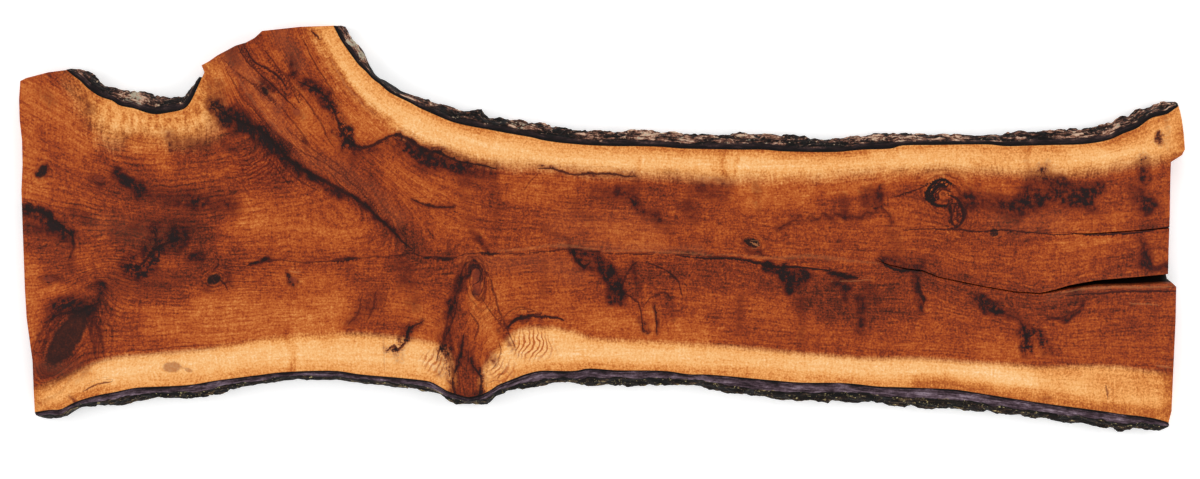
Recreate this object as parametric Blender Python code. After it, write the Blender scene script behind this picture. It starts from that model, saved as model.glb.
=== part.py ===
"""Live-edge walnut slab, lying flat on its sawn underside.

Frame: +X runs along the grain to the horned end, +Y across the slab to the edge
that carries the limb stub, +Z up. The origin is on the underside, below the middle
of the slab's box. The model is in metres; outline points are written in whole
millimetres and turned to metres by MM.
"""
import bisect
import math

import bmesh
import bpy
from mathutils import Vector, noise

MM = 0.001

# Driving dimensions
THICKNESS = 0.050
STATION_SPACING = 0.008
NOTCH_SPACING = 0.006
BARK_GAP = 0.0003
# The live edge flares out towards the underside, by this share of the bark's reach
WALL_LEAN = 0.35
# Share of the bark's reach that the saw left as a flat band on the top face
LOWER_SAWN_BAND = 0.52
UPPER_SAWN_BAND = 0.38
NOTCH_SAWN_BAND = 0.45
# The band's edge wanders by this share of the reach, over this length
BAND_WANDER = 0.07
BAND_WANDER_LENGTH = 0.030
# Bark relief: plates along the grain, parted by furrows, with crumbs on them
PLATE_LENGTH = 0.055
PLATE_HEIGHT = 0.017
FURROW_DEPTH = 0.0054
FURROW_SHARE = 0.35
CRUMB_SIZE = 0.011
CRUMB_DEPTH = 0.0014
# Bark that reaches out less than this carries less relief, and none gets thinner
# than the least bark
FULL_RELIEF_REACH = 0.022
LEAST_BARK = 0.0028
# Cutters of the open cracks stand this far out of the wood
CUT_CLEARANCE = 0.001
SHARP_EDGE_DEGREES = 50

# Where wood meets bark on the top face, and from there how far the bark's outer
# edge lies: (x, y, out_x, out_y) in millimetres, from the left end to the right
LOWER_EDGE = (
    (-973, -315, 4, -10),
    (-949, -311, 0, -15),
    (-929, -310, 3, -14),
    (-913, -302, 2, -13),
    (-897, -295, 2, -13),
    (-866, -286, 2, -18),
    (-839, -281, 0, -21),
    (-799, -273, 1, -25),
    (-760, -271, 0, -21),
    (-707, -268, 2, -22),
    (-664, -261, 2, -24),
    (-642, -258, 4, -18),
    (-587, -251, 2, -17),
    (-544, -246, 0, -16),
    (-458, -244, 0, -16),
    (-415, -250, 0, -15),
    (-346, -256, 0, -19),
    (-309, -260, -1, -19),
    (-293, -263, 1, -18),
    (-278, -271, 1, -15),
    (-264, -279, -1, -15),
    (-252, -283, -1, -18),
    (-230, -289, 0, -12),
    (-206, -284, 6, -17),
    (-193, -278, 8, -12),
    (-178, -268, 6, -15),
    (-163, -262, 6, -16),
    (-132, -250, 2, -24),
    (-106, -244, 1, -26),
    (-74, -244, 1, -21),
    (-46, -244, -2, -23),
    (-24, -240, -2, -30),
    (24, -243, 0, -26),
    (106, -244, 0, -24),
    (151, -250, 1, -19),
    (175, -250, 1, -22),
    (216, -253, 0, -28),
    (290, -260, 0, -31),
    (340, -264, 6, -33),
    (417, -265, 2, -32),
    (477, -271, 0, -28),
    (511, -272, -1, -32),
    (604, -276, 0, -34),
    (645, -282, 0, -30),
    (714, -293, 0, -28),
    (775, -302, 0, -27),
    (858, -313, 0, -26),
    (890, -318, -3, -28),
    (926, -322, 0, -22),
    (954, -327, 2, -20),
    (972, -333, 2, -9),
)
UPPER_EDGE = (
    (-461, 348, 17, -1),
    (-448, 323, 16, 4),
    (-437, 307, 19, 8),
    (-427, 293, 18, 7),
    (-417, 280, 14, 4),
    (-405, 269, 9, 3),
    (-393, 256, 6, 6),
    (-383, 249, 7, 7),
    (-367, 235, 9, 9),
    (-353, 227, 9, 8),
    (-328, 215, 11, 11),
    (-316, 208, 10, 15),
    (-296, 199, 8, 18),
    (-258, 183, 6, 23),
    (-235, 177, 3, 25),
    (-209, 172, 1, 30),
    (-197, 170, -1, 22),
    (-166, 164, 1, 25),
    (-120, 156, 3, 25),
    (-105, 152, 5, 28),
    (-94, 150, 3, 23),
    (-72, 147, 0, 24),
    (-27, 143, 0, 25),
    (26, 141, 0, 26),
    (58, 141, 0, 28),
    (99, 140, 0, 26),
    (137, 137, 0, 25),
    (185, 136, 0, 25),
    (237, 135, 0, 28),
    (276, 135, 2, 27),
    (314, 132, 0, 26),
    (400, 131, 0, 24),
    (446, 135, 0, 24),
    (497, 137, -1, 25),
    (513, 142, 0, 20),
    (573, 143, 0, 19),
    (662, 144, 0, 16),
    (693, 141, -2, 20),
    (734, 142, -4, 25),
    (775, 143, -2, 26),
    (818, 144, -3, 26),
    (846, 147, -6, 24),
    (873, 153, -11, 24),
    (895, 163, -12, 22),
    (918, 172, -12, 22),
    (942, 189, -10, 16),
    (969, 196, -10, 19),
    (981, 204, -7, 14),
    (989, 210, -3, 9),
)
NOTCH_EDGE = (
    (-919, 272, 6, 3),
    (-907, 262, 12, 11),
    (-895, 253, 16, 14),
    (-883, 241, 14, 16),
    (-861, 226, 7, 20),
    (-840, 219, 2, 22),
    (-828, 211, 3, 25),
    (-804, 206, 2, 29),
    (-770, 196, -3, 34),
    (-741, 199, -6, 27),
    (-717, 205, -8, 21),
    (-707, 215, -11, 14),
    (-700, 228, -12, 10),
    (-695, 239, -11, 7),
    (-690, 250, -8, 4),
    (-686, 259, -6, 2),
)

# Sawn and broken edges of the wood, (x, y) in millimetres
RIGHT_END_BELOW_SPLIT = ((977, -313), (980, -243), (984, -157), (985, -100))
RIGHT_END_ABOVE_SPLIT = ((971, -86), (972, -37), (974, 23), (975, 83), (976, 114))
HORN_END = ((995, 126), (1000, 136), (998, 162), (995, 185), (992, 200))
LIMB_END = (
    (-518, 346),
    (-583, 339),
    (-596, 327),
    (-611, 319),
    (-628, 314),
    (-643, 306),
    (-660, 297),
    (-674, 287),
    (-687, 280),
    (-682, 268),
)
LEFT_SHOULDER = ((-950, 268), (-988, 258), (-998, 253))
LEFT_END = (
    (-1000, 220),
    (-999, 186),
    (-995, 152),
    (-994, 109),
    (-996, 66),
    (-994, 6),
    (-990, -105),
    (-987, -154),
    (-982, -191),
    (-977, -226),
    (-975, -277),
)

# Cracks that open at the right end: (x, y, opening, depth) in millimetres
SPLIT = (
    (470, -54, 1.0, 3),
    (494, -63, 2.0, 6),
    (520, -69, 2.2, 8),
    (550, -73, 2.2, 10),
    (578, -84, 2.4, 12),
    (655, -100, 2.4, 15),
    (708, -109, 2.4, 18),
    (751, -112, 2.6, 22),
    (777, -107, 4.5, 28),
    (801, -101, 7.0, 36),
    (846, -94, 10.0, 44),
    (904, -91, 14.0, 54),
    (961, -87, 16.0, 60),
    (1010, -84, 18.0, 64),
)
CHECK = (
    (806, -9, 0.8, 3),
    (837, -9, 1.8, 6),
    (871, -7, 2.0, 8),
    (914, -4, 2.0, 10),
    (973, 1, 2.4, 12),
    (1010, 4, 2.6, 13),
)
# Sideways run of a crack towards +Y, as a share of its depth
SPLIT_LEAN = 0.38
CHECK_LEAN = 0.1

# Bark section from the sawn band down to the underside: the share of the way from
# the band's edge to the full reach, the share of the thickness below the top face,
# and how much of the relief shows there
BARK_PROFILE = (
    (0.00, 0.00, 0.0),
    (0.22, 0.05, 0.5),
    (0.48, 0.15, 1.0),
    (0.72, 0.28, 1.0),
    (0.90, 0.44, 1.0),
    (1.00, 0.62, 1.0),
    (0.99, 0.82, 1.0),
    (0.95, 1.00, 0.5),
)


def clear_scene():
    """Remove whatever objects the scene starts with."""
    for thing in list(bpy.data.objects):
        bpy.data.objects.remove(thing, do_unlink=True)


def make_material(name, colour, roughness):
    """A plain surface for the construction model."""
    material = bpy.data.materials.new(name)
    material.use_nodes = True
    surface = material.node_tree.nodes["Principled BSDF"]
    surface.inputs["Base Color"].default_value = (*colour, 1.0)
    surface.inputs["Roughness"].default_value = roughness
    surface.inputs["Metallic"].default_value = 0.0
    return material


def object_from_bmesh(name, mesh_data, material):
    """Close the bmesh into a named object with its faces pointing out."""
    bmesh.ops.recalc_face_normals(mesh_data, faces=mesh_data.faces[:])
    mesh = bpy.data.meshes.new(name)
    mesh_data.to_mesh(mesh)
    mesh_data.free()
    if material:
        mesh.materials.append(material)
    thing = bpy.data.objects.new(name, mesh)
    bpy.context.scene.collection.objects.link(thing)
    return thing


def smooth_stations(stations, spacing):
    """Even stations along the smooth curve through the hand-set ones, in metres."""
    points = [Vector(station) * MM for station in stations]
    knots = [0.0]
    for before, after in zip(points, points[1:]):
        knots.append(knots[-1] + (after.xy - before.xy).length)
    last = len(points) - 1
    slopes = []
    for index in range(len(points)):
        low = max(index - 1, 0)
        high = min(index + 1, last)
        slopes.append((points[high] - points[low]) / (knots[high] - knots[low]))
    count = round(knots[-1] / spacing)
    result = []
    for step in range(count + 1):
        distance = knots[-1] * step / count
        index = min(bisect.bisect_right(knots, distance) - 1, last - 1)
        span = knots[index + 1] - knots[index]
        t = (distance - knots[index]) / span
        start_weight = (1 + 2 * t) * (1 - t) ** 2
        end_weight = t * t * (3 - 2 * t)
        start_pull = t * (1 - t) ** 2 * span
        end_pull = t * t * (t - 1) * span
        result.append(
            points[index] * start_weight
            + points[index + 1] * end_weight
            + slopes[index] * start_pull
            + slopes[index + 1] * end_pull
        )
    return result


def outward_normals(points, reaches):
    """Unit normals of a run of points in plan, each on the side of its reach."""
    last = len(points) - 1
    normals = []
    for index, reach in enumerate(reaches):
        along = points[min(index + 1, last)] - points[max(index - 1, 0)]
        normal = Vector((-along.y, along.x)).normalized()
        if normal.dot(reach) < 0:
            normal.negate()
        normals.append(normal)
    return normals


def wall_lines(stations):
    """Top and underside points of the live edge, in plan."""
    top = [station.xy for station in stations]
    bottom = [station.xy + station.zw * WALL_LEAN for station in stations]
    return top, bottom


def wood_columns(lower, upper, notch):
    """Outline of the wood, anticlockwise: (top point, underside point, order).

    Order is 1 where the next wall panel runs with its bark stations, -1 where it
    runs against them, so that both sides of the joint are split alike.
    """
    columns = []

    def add_live(stations, order):
        top, bottom = wall_lines(stations)
        pairs = list(zip(top, bottom))
        if order < 0:
            pairs.reverse()
        columns.extend((t, b, order) for t, b in pairs)

    def add_sawn(points):
        for x, y in points:
            place = Vector((x, y)) * MM
            columns.append((place, place.copy(), 1))

    add_live(lower, 1)
    add_sawn(RIGHT_END_BELOW_SPLIT)
    add_sawn(RIGHT_END_ABOVE_SPLIT)
    add_sawn(HORN_END)
    add_live(upper, -1)
    add_sawn(LIMB_END)
    add_live(notch, -1)
    add_sawn(LEFT_SHOULDER)
    add_sawn(LEFT_END)
    return columns


def build_wood(lower, upper, notch, material):
    """The sawn plank: flat faces joined by the live edges and the sawn ends."""
    plank = bmesh.new()
    columns = wood_columns(lower, upper, notch)
    tops = [plank.verts.new((top.x, top.y, THICKNESS)) for top, _, _ in columns]
    bottoms = [plank.verts.new((bottom.x, bottom.y, 0.0)) for _, bottom, _ in columns]
    plank.faces.new(tops)
    plank.faces.new(list(reversed(bottoms)))
    for index, (_, _, order) in enumerate(columns):
        after = (index + 1) % len(columns)
        if order > 0:
            plank.faces.new((bottoms[index], bottoms[after], tops[after]))
            plank.faces.new((bottoms[index], tops[after], tops[index]))
        else:
            plank.faces.new((bottoms[index], bottoms[after], tops[index]))
            plank.faces.new((bottoms[after], tops[after], tops[index]))
    wood = object_from_bmesh("wood", plank, material)
    for name, stations, lean in (
        ("split_cutter", SPLIT, SPLIT_LEAN),
        ("check_cutter", CHECK, CHECK_LEAN),
    ):
        cut = wood.modifiers.new(name, "BOOLEAN")
        cut.operation = "DIFFERENCE"
        cut.solver = "EXACT"
        cut.object = crack_cutter(name, stations, lean)
    triangles = wood.modifiers.new("triangles", "TRIANGULATE")
    triangles.ngon_method = "BEAUTY"


def crack_cutter(name, stations, lean):
    """A wedge along a crack: two lips above the top face and one sharp root."""
    wedge = bmesh.new()
    rings = []
    for x, y, opening, depth in stations:
        root = Vector((x, y + lean * depth, 0.0)) * MM
        root.z = THICKNESS - depth * MM
        ring = []
        for side in (1, -1):
            lip = Vector((x * MM, (y + side * opening / 2) * MM, THICKNESS))
            rise = CUT_CLEARANCE / (depth * MM)
            ring.append(wedge.verts.new(lip + (lip - root) * rise))
        ring.append(wedge.verts.new(root))
        rings.append(ring)
    for ring, after in zip(rings, rings[1:]):
        for index in range(3):
            other = (index + 1) % 3
            wedge.faces.new((ring[index], ring[other], after[other], after[index]))
    wedge.faces.new(rings[0])
    wedge.faces.new(list(reversed(rings[-1])))
    cutter = object_from_bmesh(name, wedge, None)
    cutter.hide_render = True
    cutter.display_type = "WIRE"
    return cutter


def bark_relief(along, down, seed):
    """How far the rough bark stands out here: furrows between tilted plates, crumbs."""
    wander = noise.noise(Vector((along / PLATE_LENGTH, down / PLATE_LENGTH, seed)))
    cell = Vector((along / PLATE_LENGTH, down / PLATE_HEIGHT + wander, seed))
    nearest, second = noise.voronoi(cell)[0][:2]
    plate = min((second - nearest) / FURROW_SHARE, 1.0)
    plate = plate * plate * (3 - 2 * plate)
    tilt = noise.noise(cell + Vector((0.0, 0.0, 20.0)))
    crumb = noise.noise(Vector((along / CRUMB_SIZE, down / CRUMB_SIZE, seed)))
    return FURROW_DEPTH * (plate - 0.6 + 0.35 * tilt) + CRUMB_DEPTH * crumb


def bark_ring(station, normals, along, sawn_band, seed):
    """Section of the bark at one station, as (x, y, z) points round it."""
    top_normal, bottom_normal = normals
    reach = station.zw
    inner_top = station.xy + top_normal * BARK_GAP
    inner_bottom = station.xy + reach * WALL_LEAN + bottom_normal * BARK_GAP
    ring = [(*inner_bottom, 0.0), (*inner_top, THICKNESS)]
    relief_share = min(reach.length / FULL_RELIEF_REACH, 1.0)
    wander = noise.noise(Vector((along / BAND_WANDER_LENGTH, seed, 0.0)))
    band = sawn_band + BAND_WANDER * wander
    for outward, depth, rough in BARK_PROFILE:
        down = depth * THICKNESS
        relief = bark_relief(along, down, seed) * rough * relief_share
        out = reach.length * (band + (1.0 - band) * outward) + relief
        out = max(out, reach.length * WALL_LEAN * depth + LEAST_BARK)
        point = station.xy + reach.normalized() * out
        ring.append((point.x, point.y, THICKNESS - down))
    return ring


def build_bark(name, stations, sawn_band, seed, material):
    """A strip of bark along one live edge, sawn flush with both faces."""
    top, bottom = wall_lines(stations)
    reaches = [station.zw for station in stations]
    normals = list(zip(outward_normals(top, reaches), outward_normals(bottom, reaches)))
    strip = bmesh.new()
    rings = []
    along = 0.0
    for index, station in enumerate(stations):
        if index:
            along += (station.xy - stations[index - 1].xy).length
        ring = bark_ring(station, normals[index], along, sawn_band, seed)
        rings.append([strip.verts.new(point) for point in ring])
    size = len(rings[0])
    for ring, after in zip(rings, rings[1:]):
        for index in range(size):
            other = (index + 1) % size
            strip.faces.new((ring[index], after[index], after[other]))
            strip.faces.new((ring[index], after[other], ring[other]))
    strip.faces.new(rings[0])
    strip.faces.new(list(reversed(rings[-1])))
    bmesh.ops.triangulate(strip, faces=[face for face in strip.faces if len(face.verts) > 3])
    bark = object_from_bmesh(name, strip, material)
    bark.data.shade_smooth()
    bark.data.set_sharp_from_angle(angle=math.radians(SHARP_EDGE_DEGREES))


clear_scene()
walnut = make_material("oiled_walnut", (0.26, 0.10, 0.045), 0.45)
bark_brown = make_material("walnut_bark", (0.055, 0.035, 0.028), 0.9)
lower_stations = smooth_stations(LOWER_EDGE, STATION_SPACING)
upper_stations = smooth_stations(UPPER_EDGE, STATION_SPACING)
notch_stations = smooth_stations(NOTCH_EDGE, NOTCH_SPACING)
build_wood(lower_stations, upper_stations, notch_stations, walnut)
build_bark("bark_lower", lower_stations, LOWER_SAWN_BAND, 1.7, bark_brown)
build_bark("bark_upper", upper_stations, UPPER_SAWN_BAND, 5.3, bark_brown)
build_bark("bark_notch", notch_stations, NOTCH_SAWN_BAND, 8.1, bark_brown)
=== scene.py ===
# %% [markdown]
# # A live-edge walnut slab
#
# The slab is one plank sawn lengthways through a walnut trunk, with its bark left
# on. It lies flat, and the camera looks straight down on the sanded, oiled face.
# Almost all of its character is colour: pale sapwood along both edges, red-brown
# heartwood, dark mineral stains, knots, and a crotch where a limb left the trunk.
# The script loads the solid model, gives the wood a fine mesh that carries the
# figure as attributes, dresses the bark, and lights a plain pale floor.

# %% Load the solid model
import math
from collections import namedtuple

import bmesh
import bpy
import numpy as np
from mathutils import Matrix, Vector, noise
from mathutils.kdtree import KDTree


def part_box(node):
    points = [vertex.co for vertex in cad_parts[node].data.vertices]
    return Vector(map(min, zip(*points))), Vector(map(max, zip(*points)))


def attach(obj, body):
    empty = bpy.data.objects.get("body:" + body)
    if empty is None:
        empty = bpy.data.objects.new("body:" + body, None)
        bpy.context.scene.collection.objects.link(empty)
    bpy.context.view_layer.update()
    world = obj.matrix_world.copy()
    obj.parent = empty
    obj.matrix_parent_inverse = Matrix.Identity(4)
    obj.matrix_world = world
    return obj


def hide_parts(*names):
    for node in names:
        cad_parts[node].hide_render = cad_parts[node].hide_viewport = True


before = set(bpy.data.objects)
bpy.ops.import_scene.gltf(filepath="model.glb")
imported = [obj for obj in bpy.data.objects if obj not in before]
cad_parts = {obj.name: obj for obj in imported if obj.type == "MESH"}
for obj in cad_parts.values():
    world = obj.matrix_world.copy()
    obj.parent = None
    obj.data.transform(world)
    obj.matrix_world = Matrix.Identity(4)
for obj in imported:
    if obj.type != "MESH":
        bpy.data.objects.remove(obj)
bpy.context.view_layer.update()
wood_low, wood_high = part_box("wood")
THICKNESS = wood_high.z
MM = 0.001
# Vector noise starts from the clock unless it has a seed
noise.seed_set(1)
print("nodes:", sorted(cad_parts))

# %% [markdown]
# ## Places on the face
#
# Knots, stains and cracks belong where the real slab has them. Each is placed by
# the pixel where the photograph shows it, because that is how the eye finds it, and
# one function turns the slab's metres into those pixels. The photograph is 1200 by
# 479 pixels, and the slab's two metres span 1166 of them.

# %% From metres to the photograph's pixels
PHOTO_SIZE = (1200, 479)
SLAB_MIDDLE_PX = (602.0, 228.5)
METRES_PER_PX = 2.0 / 1166


def to_photo(x, y):
    """Photograph pixels of points given in metres."""
    return SLAB_MIDDLE_PX[0] + x / METRES_PER_PX, SLAB_MIDDLE_PX[1] - y / METRES_PER_PX


def to_slab(px, py):
    """Metres on the slab of a point given in photograph pixels."""
    return (px - SLAB_MIDDLE_PX[0]) * METRES_PER_PX, (SLAB_MIDDLE_PX[1] - py) * METRES_PER_PX


print("one photograph pixel is", round(METRES_PER_PX / MM, 3), "mm")

# %% [markdown]
# ## Colour and node helpers
#
# Colours are picked as sRGB hex values, as a paint chart gives them, and Blender's
# sockets want linear light, so one function converts. A second function adds a
# shader node with its settings and its links in one call, which keeps each material
# short enough to read as a recipe. Both woods and both barks are sums of noises, so
# one function makes a noise of a given size, and one adds such patterns up.

# %% Helpers for materials
# A MapRange node with this setting eases in and out between its two ends
SMOOTH = {"interpolation_type": "SMOOTHSTEP"}
# A colour mix's sockets, by number, because its names come once for each data type
FACTOR, FIRST, SECOND, MIXED = 0, 6, 7, 2


def linear(hex_colour):
    """Linear RGBA of an sRGB hex colour such as '#A54D23'."""
    channels = [int(hex_colour[i : i + 2], 16) / 255 for i in (1, 3, 5)]
    light = [c / 12.92 if c <= 0.04045 else ((c + 0.055) / 1.055) ** 2.4 for c in channels]
    return (*light, 1.0)


def add(tree, kind, values=(), output=0, stops=(), **settings):
    """Add a node with its settings and give back one of its outputs.

    Each value is a number, a colour or another node's output. Values go to the
    node's sockets in order, or by name or number when they come in a dict. Stops
    fill a colour ramp.
    """
    node = tree.nodes.new("ShaderNode" + kind)
    for name, value in settings.items():
        setattr(node, name, value)
    if stops:
        elements = node.color_ramp.elements
        while len(elements) < len(stops):
            elements.new(0.5)
        for element, (position, colour) in zip(elements, stops):
            element.position = position
            element.color = linear(colour)
    for place, value in values.items() if isinstance(values, dict) else enumerate(values):
        if isinstance(value, bpy.types.NodeSocket):
            tree.links.new(value, node.inputs[place])
        else:
            node.inputs[place].default_value = value
    return node.outputs[output]


def centred_noise(tree, source, size_mm, detail, rough, away):
    """Noise with features of a size in millimetres, and with zero as its middle."""
    per_metre = tuple(1000 / size for size in size_mm)
    place = add(tree, "VectorMath", (source, per_metre, (away,) * 3), operation="MULTIPLY_ADD")
    noisy = {"Vector": place, "Scale": 1.0, "Detail": detail, "Roughness": rough}
    value = add(tree, "TexNoise", noisy, "Fac")
    return add(tree, "Math", (value, 0.5), operation="SUBTRACT")


def summed(tree, start, patterns, weights):
    """A number plus each pattern times its weight."""
    total = start
    for name, weight in weights.items():
        total = add(tree, "Math", (patterns[name], weight, total), operation="MULTIPLY_ADD")
    return total


def new_material(name):
    """An empty node material: (material, its tree, its Principled surface)."""
    material = bpy.data.materials.new(name)
    material.use_nodes = True
    tree = material.node_tree
    return material, tree, tree.nodes["Principled BSDF"]


# %% [markdown]
# ## Camera, light and floor
#
# The photograph looks straight down with no visible perspective, so the camera
# hangs high over the slab with a long lens. The light is that of a white studio:
# four broad lamps around the slab, low enough that the oiled face doesn't mirror
# them into the lens, and a dim white sky that fills the shadows. The floor is a
# light table of opal acrylic: its faint glow takes away the slab's shadow, as in the
# photograph.

# %% Camera
CAMERA_LENS_MM = 135
SENSOR_MM = 36
view_width = PHOTO_SIZE[0] * METRES_PER_PX
camera_distance = view_width * CAMERA_LENS_MM / SENSOR_MM
view_x, view_y = to_slab(PHOTO_SIZE[0] / 2, PHOTO_SIZE[1] / 2)
camera_data = bpy.data.cameras.new("camera")
camera_data.lens = CAMERA_LENS_MM
camera_data.sensor_width = SENSOR_MM
camera_data.clip_end = 100
camera = bpy.data.objects.new("camera", camera_data)
camera.location = (view_x, view_y, THICKNESS + camera_distance)
bpy.context.scene.collection.objects.link(camera)
bpy.context.scene.camera = camera
print("camera height:", round(camera.location.z, 3), "m")

# %% Lamps and sky
LAMP_DISTANCE = 3.4
LAMP_HEIGHT = 3.0
LAMP_POWER = {"left": 46, "right": 46, "front": 42, "back": 52}
LAMP_SIZE = 2.6
LAMP_DIRECTION = {"left": (-1, 0), "right": (1, 0), "front": (0, -1), "back": (0, 1)}
SKY_STRENGTH = 0.5

for side, power in LAMP_POWER.items():
    lamp_data = bpy.data.lights.new("lamp_" + side, "AREA")
    lamp_data.energy = power
    lamp_data.size = LAMP_SIZE
    lamp = bpy.data.objects.new("lamp_" + side, lamp_data)
    across, along = LAMP_DIRECTION[side]
    lamp.location = (across * LAMP_DISTANCE, along * LAMP_DISTANCE, LAMP_HEIGHT)
    lamp.rotation_euler = (-lamp.location).to_track_quat("-Z", "Y").to_euler()
    bpy.context.scene.collection.objects.link(lamp)

world = bpy.data.worlds.new("studio")
world.use_nodes = True
world.node_tree.nodes["Background"].inputs["Color"].default_value = linear("#FFFFFF")
world.node_tree.nodes["Background"].inputs["Strength"].default_value = SKY_STRENGTH
bpy.context.scene.world = world
bpy.context.scene.view_settings.view_transform = "Standard"
print("lamps:", len(LAMP_POWER))

# %% Floor
FLOOR_SIZE = 60.0
FLOOR_GLOW = 0.3
floor_mesh = bmesh.new()
bmesh.ops.create_grid(floor_mesh, x_segments=1, y_segments=1, size=FLOOR_SIZE / 2)
floor_data = bpy.data.meshes.new("floor")
floor_mesh.to_mesh(floor_data)
floor_mesh.free()
floor = bpy.data.objects.new("floor", floor_data)
bpy.context.scene.collection.objects.link(floor)
floor_finish, _, floor_surface = new_material("opal_acrylic_light_table")
floor_surface.inputs["Base Color"].default_value = linear("#FAFAFA")
floor_surface.inputs["Roughness"].default_value = 0.9
floor_surface.inputs["Specular IOR Level"].default_value = 0.1
floor_surface.inputs["Emission Color"].default_value = linear("#FFFFFF")
floor_surface.inputs["Emission Strength"].default_value = FLOOR_GLOW
floor_data.materials.append(floor_finish)

# %% [markdown]
# ## How the grain runs
#
# Every streak in the wood follows the growth rings, so the material needs to know,
# at each point, how far it lies from the pith and how far along the trunk. Those
# two coordinates bend: into the limb at the upper left, round the knots, out to the
# horn. They are drawn the way a carver would sketch them, as a few contour lines
# with a value each, and a small least-squares fit spreads the values smoothly over
# a coarse grid. Knots then push the lines aside as a post does in a stream.

# %% Contours of growth and of length
# Growth is about the distance from the pith, up the picture positive, in pixels
GROWTH_LINES = (
    (0, ((215, 258), (300, 262), (440, 257), (560, 250), (700, 256), (800, 270), (924, 270),
         (984, 287), (1042, 294), (1100, 284), (1175, 279))),
    (115, ((1179, 106), (1151, 118), (1103, 141), (1000, 146), (850, 152), (700, 149), (560, 143),
           (485, 129), (441, 117), (405, 101), (380, 84), (361, 67), (345, 46), (333, 26))),
    (85, ((1172, 150), (1095, 169), (900, 168), (752, 179), (600, 172), (491, 166), (443, 152),
          (412, 140), (376, 112), (352, 90), (332, 62), (312, 32))),
    (50, ((1170, 212), (1000, 222), (850, 214), (700, 211), (560, 205), (470, 193), (415, 170),
          (370, 138), (334, 102), (310, 70), (292, 34), (284, 6))),
    (0, ((411, 250), (385, 205), (352, 166), (320, 128), (290, 88), (268, 44), (256, 12))),
    (-115, ((34, 410), (70, 404), (113, 392), (160, 386), (230, 379), (285, 372), (360, 374),
            (430, 382), (470, 398), (500, 384), (545, 371), (690, 374), (850, 385), (950, 389),
            (1054, 404), (1169, 423))),
    (-85, ((110, 354), (160, 353), (240, 344), (320, 335), (400, 338), (440, 345), (500, 345),
           (600, 341), (700, 345), (850, 356), (1000, 364), (1172, 376))),
    # The seam of the crotch, where the limb's rings meet the left stem's
    (12, ((392, 229), (388, 226))),
    (28, ((360, 202), (354, 197))),
    (42, ((324, 180), (318, 176))),
    (56, ((291, 160), (285, 155))),
    (74, ((260, 129), (254, 126))),
    (92, ((226, 113), (222, 110))),
    (114, ((65, 69), (84, 85), (100, 96), (128, 108), (156, 114), (183, 109), (197, 90),
           (203, 70))),
    (84, ((24, 90), (60, 110), (95, 133), (130, 146), (165, 149), (200, 142), (218, 124))),
    (56, ((24, 150), (80, 172), (130, 190), (190, 190), (240, 178), (285, 160))),
    (28, ((24, 200), (90, 218), (150, 228), (220, 224), (290, 214), (352, 200))),
    (0, ((24, 262), (100, 262), (215, 258))),
    (-50, ((24, 312), (130, 308), (240, 303), (400, 300))),
)
ALONG_LINES = (
    (1170, ((1179, 106), (1170, 423))),
    (1000, ((1000, 146), (1004, 399))),
    (800, ((800, 152), (800, 382))),
    (600, ((600, 145), (600, 368))),
    (500, ((500, 132), (497, 386))),
    (440, ((446, 119), (436, 384))),
    (372, ((392, 93), (352, 130), (330, 176), (372, 240), (372, 375))),
    (320, ((352, 58), (318, 84), (268, 134))),
    (272, ((333, 26), (268, 42), (205, 68))),
    (300, ((300, 196), (300, 372))),
    (200, ((200, 120), (200, 385))),
    (100, ((100, 98), (100, 396))),
    (25, ((22, 82), (34, 409))),
)
GRID_STEP_PX = 16
GRID_START_PX = (-16, -16)
GRID_COUNT = (78, 32)
CONTOUR_STEP_PX = 7
# How strongly the fit keeps to straight lines, to level ground and to the contours
BEND_WEIGHT = 1.0
SLOPE_WEIGHT = 0.12
CONTOUR_WEIGHT = 3.0


def grid_place(px, py):
    """Cell numbers and the shares across the cell of points on the coarse grid."""
    gx = np.clip((px - GRID_START_PX[0]) / GRID_STEP_PX, 1, GRID_COUNT[0] - 2.001)
    gy = np.clip((py - GRID_START_PX[1]) / GRID_STEP_PX, 1, GRID_COUNT[1] - 2.001)
    cx, cy = gx.astype(int), gy.astype(int)
    return cx, cy, gx - cx, gy - cy


def contour_samples(lines):
    """Evenly spaced points along every contour, with the contour's value."""
    samples = []
    for value, path in lines:
        for (x0, y0), (x1, y1) in zip(path, path[1:]):
            steps = max(int(math.hypot(x1 - x0, y1 - y0) / CONTOUR_STEP_PX), 1)
            for i in range(steps + 1):
                t = i / steps
                samples.append((x0 + (x1 - x0) * t, y0 + (y1 - y0) * t, value))
    return np.array(samples)


def spread(lines):
    """Fit a smooth height over the coarse grid that honours the contours."""
    nx, ny = GRID_COUNT
    number = np.arange(nx * ny).reshape(nx, ny)
    normal = np.zeros((nx * ny, nx * ny))
    right = np.zeros(nx * ny)

    def add_rows(columns, factors, targets, weight):
        for a in range(len(columns)):
            for b in range(len(columns)):
                np.add.at(normal, (columns[a], columns[b]), weight * factors[a] * factors[b])
            np.add.at(right, columns[a], weight * factors[a] * targets)

    runs = (
        (number[:-2], number[1:-1], number[2:]),
        (number[:, :-2], number[:, 1:-1], number[:, 2:]),
    )
    for before, here, after in runs:
        add_rows([c.ravel() for c in (before, here, after)], (1.0, -2.0, 1.0), 0.0, BEND_WEIGHT)
        add_rows([c.ravel() for c in (before, here)], (1.0, -1.0), 0.0, SLOPE_WEIGHT**2)
    points = contour_samples(lines)
    cx, cy, tx, ty = grid_place(points[:, 0], points[:, 1])
    corners = [number[cx + i, cy + j] for i in (0, 1) for j in (0, 1)]
    shares = [(tx if i else 1 - tx) * (ty if j else 1 - ty) for i in (0, 1) for j in (0, 1)]
    add_rows(corners, shares, points[:, 2], CONTOUR_WEIGHT**2)
    return np.linalg.solve(normal, right).reshape(nx, ny)


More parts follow.
